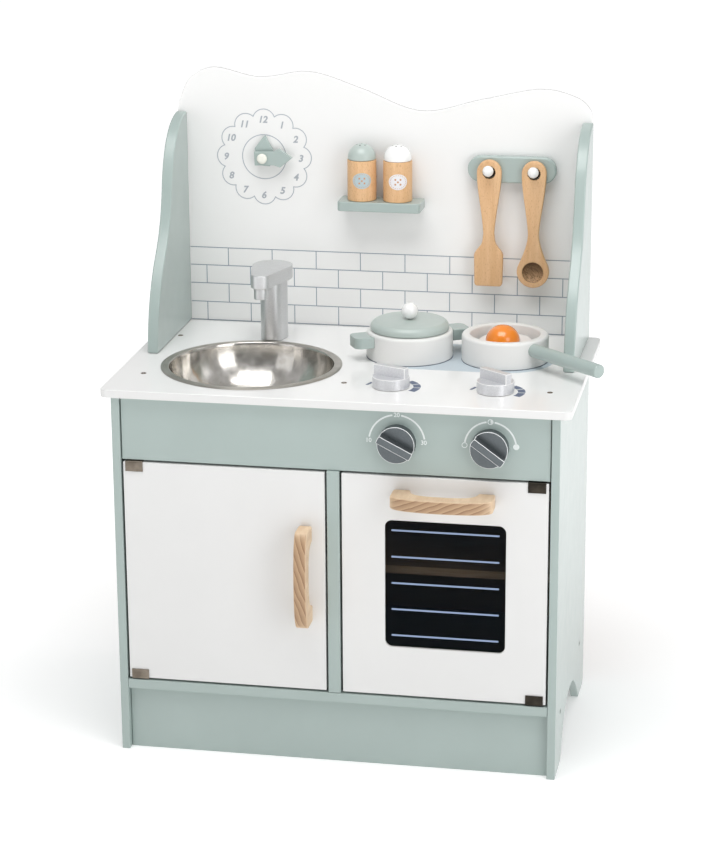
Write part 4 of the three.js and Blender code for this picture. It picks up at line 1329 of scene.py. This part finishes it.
def add_floor():
    """A pale floor that glows more and more beyond the object, as a lit studio backdrop does."""
    radius, thickness = 60000, 10
    look = Look("floor_paper", Roughness=0.9)
    tone = look.ramp(look.noise(500, detail=2), (0.3, "f1f1f1"), (0.7, "f4f4f4"))
    reach = look.add("ShaderNodeVectorMath", {0: look.coordinates.outputs["Object"]}, operation="LENGTH")
    glow = look.spread(reach.outputs["Value"], low=0.26, high=0.65, start=0.45, end=1.4)
    look.shader.inputs["Emission Color"].default_value = (1, 1, 1, 1)
    look.feed(look.shader.inputs["Emission Strength"], glow)
    disc = drawn(lambda bm: plate(bm, circle(0, 0, radius, 64), -thickness, 0), Matrix())
    to_object("floor", disc, [look.finish(tone)])


def add_softbox(name, place, aim, size, power):
    data = set_all(bpy.data.lights.new(name, "AREA"), shape="RECTANGLE", energy=power)
    data.size, data.size_y = size
    ahead = Vector(aim) - Vector(place)
    set_all(add_object(name, data), location=place, rotation_euler=ahead.to_track_quat("-Z", "Y").to_euler())


def add_world():
    """A white studio that is dimmer towards the front, which gives the metals something dark to mirror."""
    world = bpy.data.worlds.new("studio")
    world.use_nodes = True
    tree = world.node_tree
    backdrop = tree.nodes["Background"]
    direction = tree.nodes.new("ShaderNodeSeparateXYZ")
    tree.links.new(direction.inputs["Vector"], tree.nodes.new("ShaderNodeTexCoord").outputs["Generated"])
    brightness = tree.nodes.new("ShaderNodeMapRange")
    for name, value in (("From Min", -0.9), ("From Max", -0.15), ("To Min", 0.2), ("To Max", 0.5)):
        brightness.inputs[name].default_value = value
    tree.links.new(brightness.inputs["Value"], direction.outputs["Y"])
    tree.links.new(backdrop.inputs["Strength"], brightness.outputs["Result"])
    backdrop.inputs["Color"].default_value = (1, 1, 1, 1)
    bpy.context.scene.world = world


def add_lights():
    add_softbox("left_softbox", (-1.25, -1.15, 0.95), (0, 0, 0.4), (0.7, 1.3), 2)
    add_softbox("right_softbox", (1.35, -1.05, 0.95), (0, 0, 0.4), (0.7, 1.3), 8.5)
    add_softbox("side_softbox", (1.9, 0.5, 1.0), (0.25, 0.1, 0.3), (1.0, 1.6), 3.6)
    add_softbox("top_softbox", (0.0, -0.6, 2.4), (0, 0.1, 0.45), (1.6, 1.2), 28)


def add_camera():
    """A long lens to the right of the kitchen and above it; its angles are in radians."""
    yaw, pitch, roll = 0.191, 0.300, -0.006
    place, lens = (0.5809, -2.8592, 1.3182), 110.03
    ahead = Vector((-math.sin(yaw) * math.cos(pitch), math.cos(yaw) * math.cos(pitch), -math.sin(pitch)))
    level = Vector((math.cos(yaw), math.sin(yaw), 0))
    upward = level.cross(ahead)
    right = level * math.cos(roll) + upward * math.sin(roll)
    up = upward * math.cos(roll) - level * math.sin(roll)
    data = set_all(bpy.data.cameras.new("camera"), sensor_width=36, lens=lens, clip_end=200)
    camera = add_object("camera", data)
    camera.matrix_world = Matrix.Translation(place) @ Matrix((right, up, -ahead)).transposed().to_4x4()
    bpy.context.scene.camera = camera


add_cabinet()
add_screws()
add_worktop()
add_sink()
add_faucet()
add_knobs()
add_dials()
add_hob_print()
add_doors()
add_backboard()
add_tile_print()
add_clock()
add_shakers()
add_utensils()
add_pot()
add_pan()
add_floor()
add_world()
add_lights()
add_camera()
bpy.context.scene.view_settings.view_transform = "Standard"
